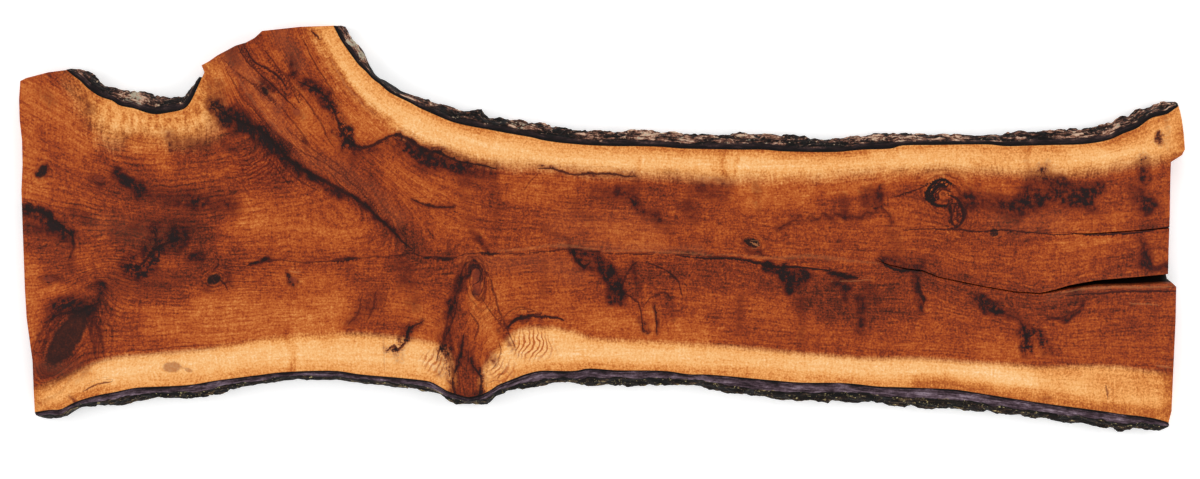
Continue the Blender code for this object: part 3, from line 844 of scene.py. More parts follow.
# %% Thin lines and cracks
LINES = (
    # The crotch's seam and the wavy line along the upper sapwood
    (2.4, 0.85, (213, 105), (224, 112), (240, 122), (258, 128), (274, 143), (288, 158),
        (306, 171), (321, 179), (339, 189), (357, 199), (370, 209), (388, 227), (398, 236),
        (411, 248)),
    (2.0, 0.85, (300, 82), (313, 88), (325, 95), (333, 107), (337, 118), (342, 132), (350, 143),
        (360, 147), (370, 146), (382, 140), (393, 135), (404, 137), (414, 143), (424, 149),
        (438, 153), (455, 160), (479, 165), (496, 169)),
    (1.7, 0.8, (539, 169), (552, 169), (565, 172), (578, 175), (592, 173), (606, 173),
        (618, 175), (636, 177)),
    (1.0, 0.4, (523, 190), (531, 180), (540, 172)),
    (1.8, 0.75, (412, 199), (421, 203), (437, 207), (453, 207)),
    # The limb
    (1.7, 0.85, (312, 31), (316, 35), (320, 40)),
    (1.6, 0.85, (245, 48), (255, 61), (275, 74), (288, 89)),
    (1.3, 0.75, (236, 44), (246, 60), (262, 76), (280, 92), (296, 108)),
    (1.2, 0.65, (264, 50), (276, 66), (290, 84), (300, 104)),
    (1.2, 0.62, (222, 58), (238, 74), (256, 88), (276, 106)),
    (1.1, 0.6, (300, 34), (312, 58), (326, 82), (342, 104)),
    (1.6, -0.13, (229, 62), (239, 80), (254, 102), (270, 120), (286, 138)),
    (1.4, -0.12, (244, 74), (258, 82), (272, 96), (282, 104)),
    (1.4, 0.68, (254, 84), (262, 88), (268, 96), (276, 102)),
    (1.2, 0.58, (226, 70), (240, 94), (258, 114), (276, 134), (300, 156)),
    (1.1, 0.52, (276, 100), (290, 118), (306, 140), (322, 158)),
    (1.2, 0.58, (282, 74), (296, 88), (308, 104), (322, 126), (334, 148)),
    (1.2, -0.35, (331, 60), (345, 84), (358, 100), (373, 114)),
    (2.6, 0.45, (291, 59), (291, 77)),
    # The left end: the cleft, the blotch, the oval knot's lid and rays
    (1.5, 0.7, (25, 201), (38, 209)),
    (2.8, 0.95, (23, 210), (38, 210), (51, 218), (64, 228), (73, 236)),
    (1.8, 0.6, (73, 236), (74, 248), (69, 259)),
    (2.2, 0.8, (138, 267), (153, 251), (166, 243), (179, 238)),
    (1.4, 0.7, (153, 251), (157, 240), (155, 230)),
    (1.4, 0.6, (138, 267), (125, 264)),
    (1.8, 0.75, (46, 322), (60, 315), (76, 312), (90, 306), (99, 302)),
    (2.0, 0.5, (89, 314), (100, 318), (110, 326), (113, 340)),
    (2.6, 0.55, (88, 316), (96, 326), (102, 343), (104, 356)),
    (2.4, 0.5, (87, 320), (93, 338), (96, 358)),
    (1.8, 0.5, (50, 320), (41, 332), (33, 348)),
    (1.8, 0.45, (62, 316), (50, 330), (42, 348)),
    (1.0, 0.5, (88, 312), (104, 312), (122, 318)),
    # Beside the crotch's seam, legs of the round hole, and faint feathers below the pith
    (1.2, 0.5, (262, 122), (280, 136), (300, 150), (322, 162), (346, 178), (366, 196)),
    (1.0, 0.45, (284, 128), (306, 144), (332, 160), (356, 180), (378, 206), (396, 230)),
    (1.3, 0.55, (276, 156), (290, 172), (304, 184), (318, 192)),
    (1.0, 0.45, (262, 150), (278, 170), (292, 186)),
    (1.3, 0.7, (219, 279), (225, 284), (227, 290)),
    (1.2, 0.65, (212, 271), (218, 264), (216, 256)),
    (1.8, 0.5, (350, 324), (358, 312), (362, 298)),
    (1.6, 0.5, (366, 322), (372, 308), (376, 292)),
    (1.4, 0.4, (380, 314), (386, 298), (390, 284)),
    (1.2, 0.7, (84, 391), (97, 384), (112, 382)),
    # The pith, and the dark lines that lead to the split
    (1.2, 0.6, (222, 268), (245, 266), (263, 261), (306, 262), (337, 260), (357, 259),
        (400, 255), (412, 253), (424, 258), (450, 258), (477, 253), (504, 254)),
    (2.2, 0.85, (248, 264), (256, 262), (263, 261), (276, 262)),
    (3.0, 0.9, (333, 261), (342, 260), (356, 259)),
    (2.6, 0.9, (424, 258), (436, 259), (452, 258)),
    (2.2, 0.9, (480, 253), (490, 254), (500, 254)),
    (1.1, 0.7, (504, 254), (543, 252), (570, 249), (610, 253), (640, 254), (677, 256),
        (703, 258)),
    (1.7, 0.95, (677, 256), (703, 258), (726, 259), (748, 261), (768, 266), (795, 267),
        (818, 269), (836, 272)),
    (1.5, 0.8, (1066, 296), (1090, 294), (1120, 292), (1150, 291), (1174, 292)),
    (2.0, 0.95, (880, 260), (887, 266), (899, 269), (924, 271)),
    # The root-shaped stain, the dashes right of it and the squiggle left of it
    (1.6, 0.8, (572, 252), (576, 260), (584, 267), (590, 262)),
    (1.8, 0.7, (617, 296), (624, 282), (632, 266), (638, 262)),
    (1.3, 0.7, (620, 290), (632, 298), (641, 311), (642, 331)),
    (1.6, 0.7, (655, 305), (656, 332)),
    (1.2, 0.7, (647, 262), (664, 270), (677, 280), (684, 298)),
    (1.1, 0.6, (644, 305), (652, 297), (665, 293), (673, 302)),
    (2.6, 0.9, (832, 273), (844, 275), (857, 277)),
    (2.4, 0.8, (918, 281), (921, 292), (924, 302)),
    (1.2, 0.22, (383, 265), (384, 320), (383, 372)),
    (2.2, 0.8, (387, 350), (394, 345), (397, 350), (405, 342), (410, 330), (415, 325),
        (422, 322)),
    # The branch that runs down to the lower edge
    (1.2, 0.6, (461, 283), (462, 270), (470, 262), (480, 264), (485, 274), (483, 290),
        (479, 296)),
    (1.2, 0.75, (468, 276), (472, 268), (479, 270), (479, 281), (472, 286)),
    (2.0, 0.5, (464, 276), (457, 293), (449, 314), (444, 336), (445, 350), (451, 366),
        (454, 380), (455, 396)),
    (1.3, 0.7, (459, 300), (452, 322), (442, 344), (436, 360)),
    (1.4, 0.6, (486, 270), (493, 290), (500, 312), (508, 328), (516, 348)),
    (1.1, 0.55, (482, 298), (490, 312), (500, 322), (507, 334)),
    (1.5, 0.8, (464, 334), (462, 350), (457, 366)),
    (1.2, 0.6, (470, 312), (478, 326), (474, 340)),
    (1.8, 0.9, (457, 368), (453, 380), (455, 397)),
    (1.6, 0.85, (472, 364), (481, 378), (479, 397)),
    (1.1, 0.55, (486, 372), (494, 366), (500, 354), (498, 342)),
    (1.0, 0.5, (488, 384), (498, 378), (506, 366)),
    (2.4, 0.9, (508, 328), (516, 320), (528, 316), (543, 317), (562, 319)),
    (1.1, 0.5, (503, 318), (512, 311), (523, 308), (541, 313)),
    # The scalloped line and the curl beside it
    (1.8, 0.45, (777, 229), (786, 224), (795, 220), (800, 215), (805, 221), (811, 214),
        (817, 220), (824, 213), (830, 219), (837, 213), (844, 218), (852, 215), (860, 217),
        (868, 212), (874, 214), (880, 206), (886, 210), (890, 218)),
    (3.0, 1.0, (951, 184), (943, 180), (934, 182), (928, 190), (929, 199), (937, 206),
        (947, 205)),
    (3.0, 1.0, (947, 187), (940, 185), (934, 189), (932, 196), (936, 202)),
    (1.6, 0.8, (950, 192), (943, 189), (938, 193), (939, 199)),
    (3.2, 0.9, (950, 196), (958, 201), (964, 211), (963, 221), (957, 227)),
    (2.4, 0.85, (949, 203), (952, 213), (951, 221), (957, 227)),
    (1.1, 0.7, (954, 204), (958, 213), (957, 222)),
    (1.2, 0.75, (894, 197), (917, 190), (927, 184)),
    # The right end
    (1.2, 0.8, (905, 230), (948, 229), (975, 231), (1017, 231), (1046, 234), (1075, 235)),
    (1.6, 0.9, (1072, 235), (1100, 234), (1131, 233), (1170, 227)),
    (1.5, 0.55, (1140, 236), (1147, 258)),
    (1.6, 0.5, (979, 298), (986, 306), (1000, 312), (1012, 316), (1020, 321)),
    (1.8, 0.6, (1020, 321), (1025, 332), (1025, 355)),
    (1.3, 0.45, (1034, 328), (1050, 319), (1060, 319), (1068, 314), (1076, 309), (1084, 304)),
    (1.6, 0.6, (1159, 133), (1159, 143)),
    (1.6, 0.6, (1106, 387), (1107, 397)),
    # Light lines
    (0.7, -0.3, (831, 282), (850, 281), (876, 280)),
    (0.9, -0.3, (1127, 303), (1142, 304), (1158, 304)),
    (1.4, -0.35, (1156, 366), (1172, 368)),
    (2.0, -0.16, (497, 251), (520, 249), (545, 246), (570, 246), (600, 250)),
    (1.8, -0.15, (600, 251), (640, 251), (680, 253), (715, 255)),
    (2.4, -0.16, (720, 254), (770, 258), (810, 256), (850, 260), (878, 264)),
    (1.2, -0.5, (489, 353), (500, 366), (519, 383)),
    (1.2, -0.5, (486, 362), (492, 376), (504, 386)),
    (1.6, -0.3, (1062, 292), (1085, 289), (1110, 287), (1140, 287), (1172, 287)),
    # A painted glint on the almond knot, drawn as a light line
    (1.3, -0.6, (753, 243), (758, 246)),
    (1.2, -0.4, (290, 271), (300, 272)),
)

# %% Where the sapwood begins
# Each boundary runs along the inner side of a pale band. The second tuple closes the
# band's outline far outside the slab. The number is how gradually the colour turns,
# as many times the crispest turn.
SAPWOOD = {
    "upper": (
        ((306, 20), (311, 31), (330, 62), (340, 77), (359, 100), (378, 114), (398, 131),
         (412, 138), (443, 149), (491, 163), (550, 167), (600, 172), (663, 174), (726, 178),
         (804, 178), (850, 174), (872, 173), (894, 172), (917, 171), (939, 170), (984, 171),
         (1024, 172), (1073, 172), (1095, 170), (1129, 163), (1151, 160), (1169, 158),
         (1215, 156)),
        ((1215, -60), (306, -60)),
        3.0,
    ),
    "lower": (
        ((10, 398), (60, 380), (90, 366), (110, 359), (150, 355), (200, 350), (240, 344),
         (280, 337), (320, 335), (350, 334), (400, 338), (436, 344), (448, 352), (453, 366),
         (455, 384), (456, 404), (478, 404), (479, 384), (483, 371), (492, 356), (503, 343),
         (520, 331), (545, 328), (570, 332), (600, 340), (650, 342), (700, 345), (750, 349),
         (800, 354), (850, 358), (872, 359), (917, 359), (961, 362), (1006, 365), (1046, 368),
         (1107, 367), (1140, 371), (1171, 375), (1215, 380)),
        ((1215, 520), (10, 520)),
        1.3,
    ),
    "notch": (
        ((68, 62), (80, 92), (90, 118), (106, 134), (124, 138), (140, 138), (162, 138), (190, 135),
         (207, 130), (213, 118), (210, 98), (212, 60)),
        ((212, -20), (72, -20)),
        6.0,
    ),
}

# %% Ripples of figured grain
# Each ripple patch has a middle, its two radii, the direction across its waves in
# degrees clockwise from the right, the spacing of the waves, and their strength.
Ripple = namedtuple("Ripple", "x y wide high turn spacing strength")
RIPPLES = (
    Ripple(262, 168, 46, 30, 50, 4.2, 1.0),
    Ripple(532, 345, 27, 20, 15, 4.6, 1.3),
    Ripple(434, 362, 16, 16, 25, 4.4, 0.9),
    Ripple(500, 372, 16, 18, 45, 5.0, 0.9),
    Ripple(372, 200, 40, 30, 45, 3.6, 0.5),
    Ripple(100, 178, 16, 12, 80, 4.0, 0.5),
    Ripple(68, 346, 44, 40, 35, 6.5, 0.4),
)
print("marks:", sum(map(len, MARKS.values())), "lines:", len(LINES), "ripples:", len(RIPPLES))

# %% Measuring against paths
CURVE_STEPS = 4
EVERYWHERE = 1e6


def curved(path):
    """Round a given path off by a curve through its points."""
    points = [Vector(point) for point in path]
    before, after = 2 * points[0] - points[1], 2 * points[-1] - points[-2]
    chain = [before, *points, after]
    rounded = []
    for a, b, c, d in zip(chain, chain[1:], chain[2:], chain[3:]):
        for i in range(CURVE_STEPS):
            t = i / CURVE_STEPS
            rounded.append(
                b + (c - a) * (t / 2) + (2 * a - 5 * b + 4 * c - d) * (t * t / 2)
                + (3 * b - a - 3 * c + d) * (t**3 / 2)
            )
    return [*rounded, points[-1]]


def near_path(path, px, py, reach):
    """Which points lie near a path, their signed distance and their share along it."""
    xs, ys = zip(*path)
    inside = (px > min(xs) - reach) & (px < max(xs) + reach)
    near = np.nonzero(inside & (py > min(ys) - reach) & (py < max(ys) + reach))[0]
    x, y = px[near], py[near]
    best = np.full(len(near), 1e9)
    side, run = np.ones(len(near)), np.zeros(len(near))
    passed = 0.0
    for (x0, y0), (x1, y1) in zip(path, path[1:]):
        dx, dy = x1 - x0, y1 - y0
        length = max(math.hypot(dx, dy), 1e-6)
        t = np.clip(((x - x0) * dx + (y - y0) * dy) / length**2, 0, 1)
        off_x, off_y = x - x0 - t * dx, y - y0 - t * dy
        distance = np.hypot(off_x, off_y)
        closer = distance < best
        best = np.where(closer, distance, best)
        side = np.where(closer, np.where(dx * off_y - dy * off_x < 0, -1.0, 1.0), side)
        run = np.where(closer, passed + t * length, run)
        passed += length
    return near, best * side, run / passed


def inside_outline(outline, px, py):
    """True for points inside a closed outline, by counting crossings."""
    crossed = np.zeros(len(px), dtype=bool)
    for (x0, y0), (x1, y1) in zip(outline, [*outline[1:], outline[0]]):
        if y0 == y1:
            continue
        spans = (y0 > py) != (y1 > py)
        crossed ^= spans & (px < (x1 - x0) * (py - y0) / (y1 - y0) + x0)
    return crossed


def sapwood_depth(px, py):
    """How far points lie inside the sapwood, in pixels, and how gradually it turns.

    The depth is negative in the heartwood.
    """
    depth, turn = np.full(len(px), -EVERYWHERE), np.ones(len(px))
    for boundary, closing, gradual in SAPWOOD.values():
        rounded = curved(boundary)
        _, distance, _ = near_path(rounded, px, py, EVERYWHERE)
        inner = inside_outline([*rounded, *(Vector(c) for c in closing)], px, py)
        signed = np.where(inner, np.abs(distance), -np.abs(distance))
        turn = np.where(signed > depth, gradual, turn)
        depth = np.maximum(depth, signed)
    return depth, turn


# %% [markdown]
# ## Attributes
#
# All of these maps are now read at every point of the wood's mesh, and kept as
# attributes, which the material reads by name. The slab flares towards its
# underside, so everything is read a little further in as a point lies deeper, and
# the wood keeps its figure right through the walls. The edge of the top face is
# walked once, because the wood next to the bark, and the bark itself, change with
# the distance from it.

# %% The slab's edge, as a line to measure from
OUTLINE_STEP = 0.002


def wood_edge_line():
    """Points every few millimetres round the wood's top edge: (x, y, run so far)."""
    mesh = merged_copy("wood")
    neighbours = {}
    for edge in mesh.edges:
        high = all(vert.co.z > THICKNESS - 1e-4 for vert in edge.verts)
        flat = [face.normal.z > LEVEL for face in edge.link_faces]
        if high and any(flat) and not all(flat):
            a, b = (tuple(vert.co.xy) for vert in edge.verts)
            neighbours.setdefault(a, []).append(b)
            neighbours.setdefault(b, []).append(a)
    mesh.free()
    samples, run = [], 0.0
    while neighbours:
        here = next(iter(neighbours))
        while here in neighbours:
            ahead = [place for place in neighbours.pop(here) if place in neighbours]
            if not ahead:
                break
            there = ahead[0]
            span = math.dist(here, there)
            steps = max(round(span / OUTLINE_STEP), 1)
            for i in range(steps):
                t = i / steps
                x = here[0] + (there[0] - here[0]) * t
                y = here[1] + (there[1] - here[1]) * t
                samples.append((x, y, run + span * t))
            run += span
            here = there
    return samples


edge_line = wood_edge_line()
edge_tree = KDTree(len(edge_line))
for index, (x, y, _) in enumerate(edge_line):
    edge_tree.insert((x, y, 0), index)
edge_tree.balance()
print("edge line:", len(edge_line), "points,", round(edge_line[-1][2], 2), "m")

# %% Read every map at the wood's points
# A deeper point counts as further in, by this much for each metre down, and more so
# the further it lies from the slab's middle line
FLARE = 0.35
MIDDLE_LINE_PX = 258
FLARE_BLEND_PX = 120
# Marks at the underside lie this far from those on top, and rings a little closer
DEEP_SHIFT_PX = (18, 9)
GROWTH_SQUEEZE = 0.98
# The branch that was cut off: its middle line, and how it draws the rings along
BRANCH = ((474, 276), (466, 300), (462, 330), (464, 360), (466, 400))
BRANCH_WIDTH_PX = 15
BRANCH_REACH_PX = 60
BRANCH_START = 4
BRANCH_PULL = 0.65
# The split and the check, whose walls below the lip are painted near black as shade deep in the
# cracks
CRACKS = (
    ((918, 271), (945, 277), (984, 286), (1040, 293), (1066, 290), (1100, 282), (1185, 277)),
    ((1066, 236), (1100, 234), (1131, 233), (1185, 227)),
)
CRACK_REACH_PX = 13
CRACK_LIP = 0.0015
# How far marks and lines reach, in half widths, and how a line fades and tapers
MARK_REACH = 1.3
LINE_REACH = 3.2
LINE_FADE_PX = 3
LINE_TIP = 0.02
LINE_TIP_WIDTH = 0.2
FAR = 4.0
# Rings fade out this far from a knot, in times its core's radius
KNOT_FAR = 9.0
RING_REACH = 3.2
RING_FADE = 2.2
RIPPLE_BOW_PX = 60
# Size and push of each turbulence, and the share of it that moves lines too
SHAKES_PX = ((24, 5.0), (10, 3.4), (5, 1.6))
LINE_SHAKE = 0.3


def soft_marks(px, py):
    """For each kind of mark, how strongly it colours every point, from 0 to 1."""
    tones = {}
    for kind, rows in MARKS.items():
        left = np.ones(len(px))
        for half_width, strength, *path in rows:
            reach = half_width * MARK_REACH
            near, distance, _ = near_path(curved(path), px, py, reach)
            share = np.clip(1 - (distance / reach) ** 2, 0, 1) ** 1.5
            left[near] *= 1 - strength * share
        tones[kind] = 1 - left
    return tones


def thin_lines(px, py):
    """Signed distance to the nearest line, in its half widths, and its strength."""
    nearest, shown = np.full(len(px), FAR), np.zeros(len(px))
    for half_width, strength, *path in LINES:
        reach = half_width * LINE_REACH + LINE_FADE_PX
        near, distance, run = near_path(curved(path), px, py, reach)
        taper = np.sqrt(np.sin(np.pi * np.clip(run, LINE_TIP, 1 - LINE_TIP)))
        widths = distance / (half_width * (LINE_TIP_WIDTH + (1 - LINE_TIP_WIDTH) * taper))
        closer = (np.abs(widths) < np.abs(nearest[near])) & (np.abs(distance) < reach)
        fade = np.clip((reach - np.abs(distance)) / LINE_FADE_PX, 0, 1)
        nearest[near] = np.where(closer, np.clip(widths, -FAR, FAR), nearest[near])
        shown[near] = np.where(closer, strength * fade, shown[near])
    return nearest, shown


def knot_rings(px, py):
    """Reach from the nearest knot (1 on its rim), its darkness and its rings."""
    reach, dark, ring = np.full(len(px), KNOT_FAR), np.zeros(len(px)), np.zeros(len(px))
    for knot in KNOTS.values():
        near, _, _ = knot_distance(knot, px, py)
        closer = near < reach
        reach = np.where(closer, near, reach)
        dark = np.where(closer, knot.dark, dark)
        fade = np.clip((RING_REACH - near) / RING_FADE, 0, 1)
        ring = np.where(closer, knot.ring * fade, ring)
    return reach, dark, ring


def ripples(px, py):
    """Phase of the rippled figure in waves, and its strength."""
    phase, strength = np.zeros(len(px)), np.zeros(len(px))
    for ripple in RIPPLES:
        dx, dy = px - ripple.x, py - ripple.y
        cos, sin = math.cos(math.radians(ripple.turn)), math.sin(math.radians(ripple.turn))
        across, along = dx * cos + dy * sin, dy * cos - dx * sin
        share = np.clip(1 - (dx / ripple.wide) ** 2 - (dy / ripple.high) ** 2, 0, 1)
        stronger = ripple.strength * share > strength
        bow = along**2 / RIPPLE_BOW_PX
        phase = np.where(stronger, (across + bow) / ripple.spacing, phase)
        strength = np.where(stronger, ripple.strength * share, strength)
    return phase, strength


def branch_share(px, py):
    """How much a point belongs to the branch that runs down to the lower edge."""
    near, distance, run = near_path(curved(BRANCH), px, py, BRANCH_REACH_PX)
    share = np.zeros(len(px))
    rise = np.clip(run * BRANCH_START, 0, 1)
    share[near] = np.exp(-((distance / BRANCH_WIDTH_PX) ** 2)) * rise
    return share


def ragged(px, py):
    """Places shaken by turbulence of a few sizes, so that no mark has a smooth rim."""
    shaken = np.column_stack((px, py)).astype(float)
    for row in shaken:
        x, y = row
        for size, push in SHAKES_PX:
            row += push * np.array(noise.noise_vector((x / size, y / size, size))[:2])
    return shaken.T


def store(data, name, *columns):
    """Keep one number, or a vector of three, at every point of a mesh."""
    kind = "FLOAT" if len(columns) == 1 else "FLOAT_VECTOR"
    layer = data.attributes.new(name, kind, "POINT")
    values = np.column_stack(columns).astype(np.float32).ravel()
    layer.data.foreach_set("value" if len(columns) == 1 else "vector", values)


def dress_wood(data):
    """Write the wood's maps to its points."""
    places = np.empty(len(data.vertices) * 3)
    data.vertices.foreach_get("co", places)
    x, y, z = places.reshape(-1, 3).T
    depth = THICKNESS - z
    px, py = to_photo(x, y)
    deep = depth / THICKNESS
    # Deeper points read the maps nearer the middle line, because the walls flare
    inward = np.clip((py - MIDDLE_LINE_PX) / FLARE_BLEND_PX, -1, 1)
    inward = inward * FLARE * depth / METRES_PER_PX
    py_in = py - inward
    bent_x, bent_y = part_round_knots(px, py_in)
    growth = read_grid(growth_grid, bent_x, bent_y) * METRES_PER_PX
    growth *= 1 - BRANCH_PULL * branch_share(px, py_in)
    along = read_grid(along_grid, bent_x, bent_y) * METRES_PER_PX
    store(data, "grain", along, growth * (1 - GROWTH_SQUEEZE * depth), depth)
    mark_x, mark_y = ragged(px + DEEP_SHIFT_PX[0] * deep, py_in + DEEP_SHIFT_PX[1] * deep)
    tones = soft_marks(mark_x, mark_y)
    # The walls of the split and the check, below the lip, get painted shade
    crack_wall_shade = np.zeros(len(px))
    for crack in CRACKS:
        near, distance, _ = near_path(crack, px, py, CRACK_REACH_PX)
        inside = (np.abs(distance) < CRACK_REACH_PX) & (depth[near] > CRACK_LIP)
        inside &= depth[near] < THICKNESS - CRACK_LIP
        crack_wall_shade[near] = np.maximum(crack_wall_shade[near], inside)
    rim = np.array([edge_tree.find((x[i], y[i], 0))[2] for i in range(len(x))])
    sapwood, turn = sapwood_depth(px, py_in)
    store(data, "zones", sapwood * METRES_PER_PX, rim, crack_wall_shade)
    line_x = px + DEEP_SHIFT_PX[0] * deep
    line_y = py_in + DEEP_SHIFT_PX[1] * deep
    line_x += (mark_x - line_x) * LINE_SHAKE
    line_y += (mark_y - line_y) * LINE_SHAKE
    line, line_strength = thin_lines(line_x, line_y)
    store(data, "marks", tones["dark"], line, line_strength)
    store(data, "tone", tones["orange"], tones["brown"], tones["mauve"])
    store(data, "knots", *knot_rings(line_x, line_y))
    phase, strength = ripples(mark_x, mark_y)
    store(data, "figure", phase, strength, turn)


wood = object_from(wood_mesh, "walnut_plank")
dress_wood(wood.data)
print("wood attributes:", [a.name for a in wood.data.attributes if not a.name.startswith(".")])

# %% [markdown]
# ## The oiled walnut
#
# Black walnut, planed, sanded and wiped with oil. Its heartwood is a red-brown with
# dark and orange streaks, its sapwood a creamy orange, and the oil gives a satin
# sheen with an index of refraction near 1.5. Most of the pattern is noise that is
# up to thirty times longer along the grain than across it, read in the grain
# coordinates stored above, so the streaks bend with the wood. Each size below is the
# length and the width of a feature on the real slab, in millimetres.

# %% The patterns of the wood
# name: (length along the grain, width across it, detail, roughness)
WOOD_PATTERNS = {
    "clouds": (150, 60, 3.0, 0.6),
    "bands": (420, 15, 3.0, 0.55),
    "streaks": (120, 5, 3.0, 0.6),
    "fibres": (26, 3.6, 2.0, 0.75),
    "silk": (3.8, 34, 2.0, 0.7),
    "smoke": (20, 26, 5.0, 0.68),
    "flecks": (9, 9, 4.0, 0.75),
    # The pores are finer than this, and are drawn as coarse as they need to show
    "grit": (3.3, 3.3, 1.0, 0.7),
}
DEPTH_MM = 30
# Each pattern reads the noise at another place, this many features further on
WOOD_OFFSET = 7.3
# How often the streaks wander off their course, and how far, in metres
WANDER_PER_METRE = (9, 22, 8)
WANDER = (0.03, 0.014, 0.0)
# How far each pattern moves the heartwood's and the sapwood's colour along its ramp
HEART_WEIGHTS = {
    "clouds": 0.35, "bands": 0.2, "streaks": 0.38, "fibres": 0.55, "silk": 0.34, "smoke": 0.42,
    "flecks": 0.3, "grit": 0.68,
}
SAP_WEIGHTS = {
    "clouds": 0.3, "bands": 0.3, "streaks": 0.35, "fibres": 0.4, "silk": 0.4, "smoke": 0.15,
    "flecks": 0.12, "grit": 0.8,
}
STAIN_WEIGHTS = {"smoke": 3.6, "flecks": 4.2, "silk": 1.6, "fibres": 1.6, "grit": 1.5}
RING_SPACING_MM = 6
# The rings show most where the grain swirls, over the first part of the length
RING_WEIGHTS = (-0.2, -0.05)
SWIRLING_PART = (0.42, 0.7)
HEART_RAMP = (
    (0.0, "#1C0B07"), (0.2, "#501C0A"), (0.4, "#822F10"), (0.55, "#A24412"),
    (0.7, "#B65A20"), (0.85, "#C87030"), (1.0, "#DA8C48"),
)
SAP_RAMP = (
    (0.0, "#A24C18"), (0.25, "#CE7A34"), (0.5, "#ECA35A"), (0.75, "#F6BC7A"), (1.0, "#FBD2A2"),
)
STAIN_COLOUR = "#1C0D0C"
SMOKE_TINT = "#9A6A64"
LINE_COLOUR = "#1A0B08"
LINE_TINT = "#A85838"
RIPPLE_TINT = "#C08860"
RING_TINT = "#A07868"
MAUVE_COLOUR = "#9A5636"
# Pale wood of the light lines, and the painted glint on the almond knot
PALE_LINE_AND_GLINT_COLOUR = "#C07A48"
KNOT_COLOUR = "#200C08"
SOUND_KNOT_COLOUR = "#84361E"
KNOT_GRAIN_COLOUR = "#561E10"
# Painted shade deep in the split and the check
CRACK_SHADE_COLOUR = "#120806"


def wood_patterns(tree, grain):
    """Noise for each pattern of the wood, stretched along the grain."""
    # Streaks wander a little on their way along the trunk
    scaled = add(tree, "VectorMath", (grain, WANDER_PER_METRE), operation="MULTIPLY")
    wander = add(tree, "TexNoise", {"Vector": scaled, "Scale": 1.0, "Detail": 2.0}, "Color")
    centred = add(tree, "VectorMath", (wander, (0.5, 0.5, 0.5)), operation="SUBTRACT")
    grain = add(tree, "VectorMath", (centred, WANDER, grain), operation="MULTIPLY_ADD")
    along, growth, _ = add(tree, "SeparateXYZ", (grain,)).node.outputs
    patterns = {"along": along, "growth": growth}
    # A pattern as long as it is wide has no direction, and is read straight in metres
    here = add(tree, "TexCoord", (), "Object")
    for number, (name, (length, width, detail, rough)) in enumerate(WOOD_PATTERNS.items()):
        source = here if length == width else grain
        size = (length, width, min(width, DEPTH_MM))
        patterns[name] = centred_noise(tree, source, size, detail, rough, number * WOOD_OFFSET)
    return patterns


def plain_wood(tree, patterns, zones, tone, gradual):
    """Heartwood and sapwood, each a sum of patterns looked up on its own ramp."""
    sapwood, rim = zones[0], zones[1]
    orange, brown, mauve = tone
    heart = add(tree, "Math", (orange, 0.28, 0.49), operation="MULTIPLY_ADD")
    heart = add(tree, "Math", (brown, -0.24, heart), operation="MULTIPLY_ADD")
    heart = summed(tree, heart, patterns, HEART_WEIGHTS)
    # Thin dark lines where growth slowed each year, clearer in some places
    turn = 2 * math.pi * 1000 / RING_SPACING_MM
    year = add(tree, "Math", (patterns["growth"], turn), operation="MULTIPLY")
    year = summed(tree, year, patterns, {"smoke": 7.0, "streaks": 6.0})
    year = add(tree, "Math", (year,), operation="SINE")
    year = add(tree, "MapRange", (year, 0.2, 1.0), **SMOOTH)
    clear = summed(tree, 0.0, patterns, {"clouds": 1.0, "smoke": 1.0})
    clear = add(tree, "MapRange", (clear, -0.25, 0.3), **SMOOTH)
    swirl = add(tree, "MapRange", (patterns["along"], *SWIRLING_PART, *RING_WEIGHTS))
    clear = add(tree, "Math", (clear, swirl), operation="MULTIPLY")
    heart = add(tree, "Math", (year, clear, heart), operation="MULTIPLY_ADD")
    heart = add(tree, "ValToRGB", (heart,), stops=HEART_RAMP)
    greyed = add(tree, "MapRange", (mauve, 0.0, 1.0, 0.0, 0.3))
    mauve_colour = {FACTOR: greyed, FIRST: heart, SECOND: linear(MAUVE_COLOUR)}
    heart = add(tree, "Mix", mauve_colour, MIXED, data_type="RGBA")

    # The sapwood deepens where it turns to heartwood, and in a thin strip at the rim
    sap = add(tree, "Math", (brown, -0.45, 0.7), operation="MULTIPLY_ADD")
    sap = add(tree, "Math", (orange, -0.22, sap), operation="MULTIPLY_ADD")
    turning = add(tree, "MapRange", (sapwood, 0.02, -0.004), **SMOOTH)
    sap = add(tree, "Math", (turning, -0.2, sap), operation="MULTIPLY_ADD")
    strip = add(tree, "MapRange", (rim, 0.03, 0.0), **SMOOTH)
    sap = add(tree, "Math", (strip, -0.34, sap), operation="MULTIPLY_ADD")
    sap = summed(tree, sap, patterns, SAP_WEIGHTS)
    sap = add(tree, "ValToRGB", (sap,), stops=SAP_RAMP)
    border = add(tree, "Math", (sapwood, gradual), operation="DIVIDE")
    border = summed(tree, border, patterns, {"silk": 0.005, "smoke": 0.006, "grit": 0.003})
    share = add(tree, "MapRange", (border, -0.006, 0.005), **SMOOTH)
    return add(tree, "Mix", {FACTOR: share, FIRST: heart, SECOND: sap}, MIXED, data_type="RGBA")


def figured_wood(tree, colour, patterns, figure, knots):
    """Ripples that darken one side of each wave, and the rings round the knots."""
    phase, rippled, _ = figure
    reach, _, ringed = knots
    wave = add(tree, "Math", (phase, 2 * math.pi), operation="MULTIPLY")
    wave = add(tree, "Math", (summed(tree, wave, patterns, {"flecks": 5.0}),), operation="SINE")
    wave = add(tree, "MapRange", (wave, -0.2, 1.0), **SMOOTH)
    share = add(tree, "Math", (wave, rippled), operation="MULTIPLY", use_clamp=True)
    dip = {FACTOR: share, FIRST: colour, SECOND: linear(RIPPLE_TINT)}
    colour = add(tree, "Mix", dip, MIXED, data_type="RGBA", blend_type="MULTIPLY")
    ring = add(tree, "Math", (reach, 11.0), operation="MULTIPLY")
    ring = add(tree, "Math", (summed(tree, ring, patterns, {"smoke": 12.0}),), operation="SINE")
    ring = add(tree, "MapRange", (ring, -0.3, 1.0), **SMOOTH)
    share = add(tree, "Math", (ring, ringed), operation="MULTIPLY")
    dark = {FACTOR: share, FIRST: colour, SECOND: linear(RING_TINT)}
    return add(tree, "Mix", dark, MIXED, data_type="RGBA", blend_type="MULTIPLY")


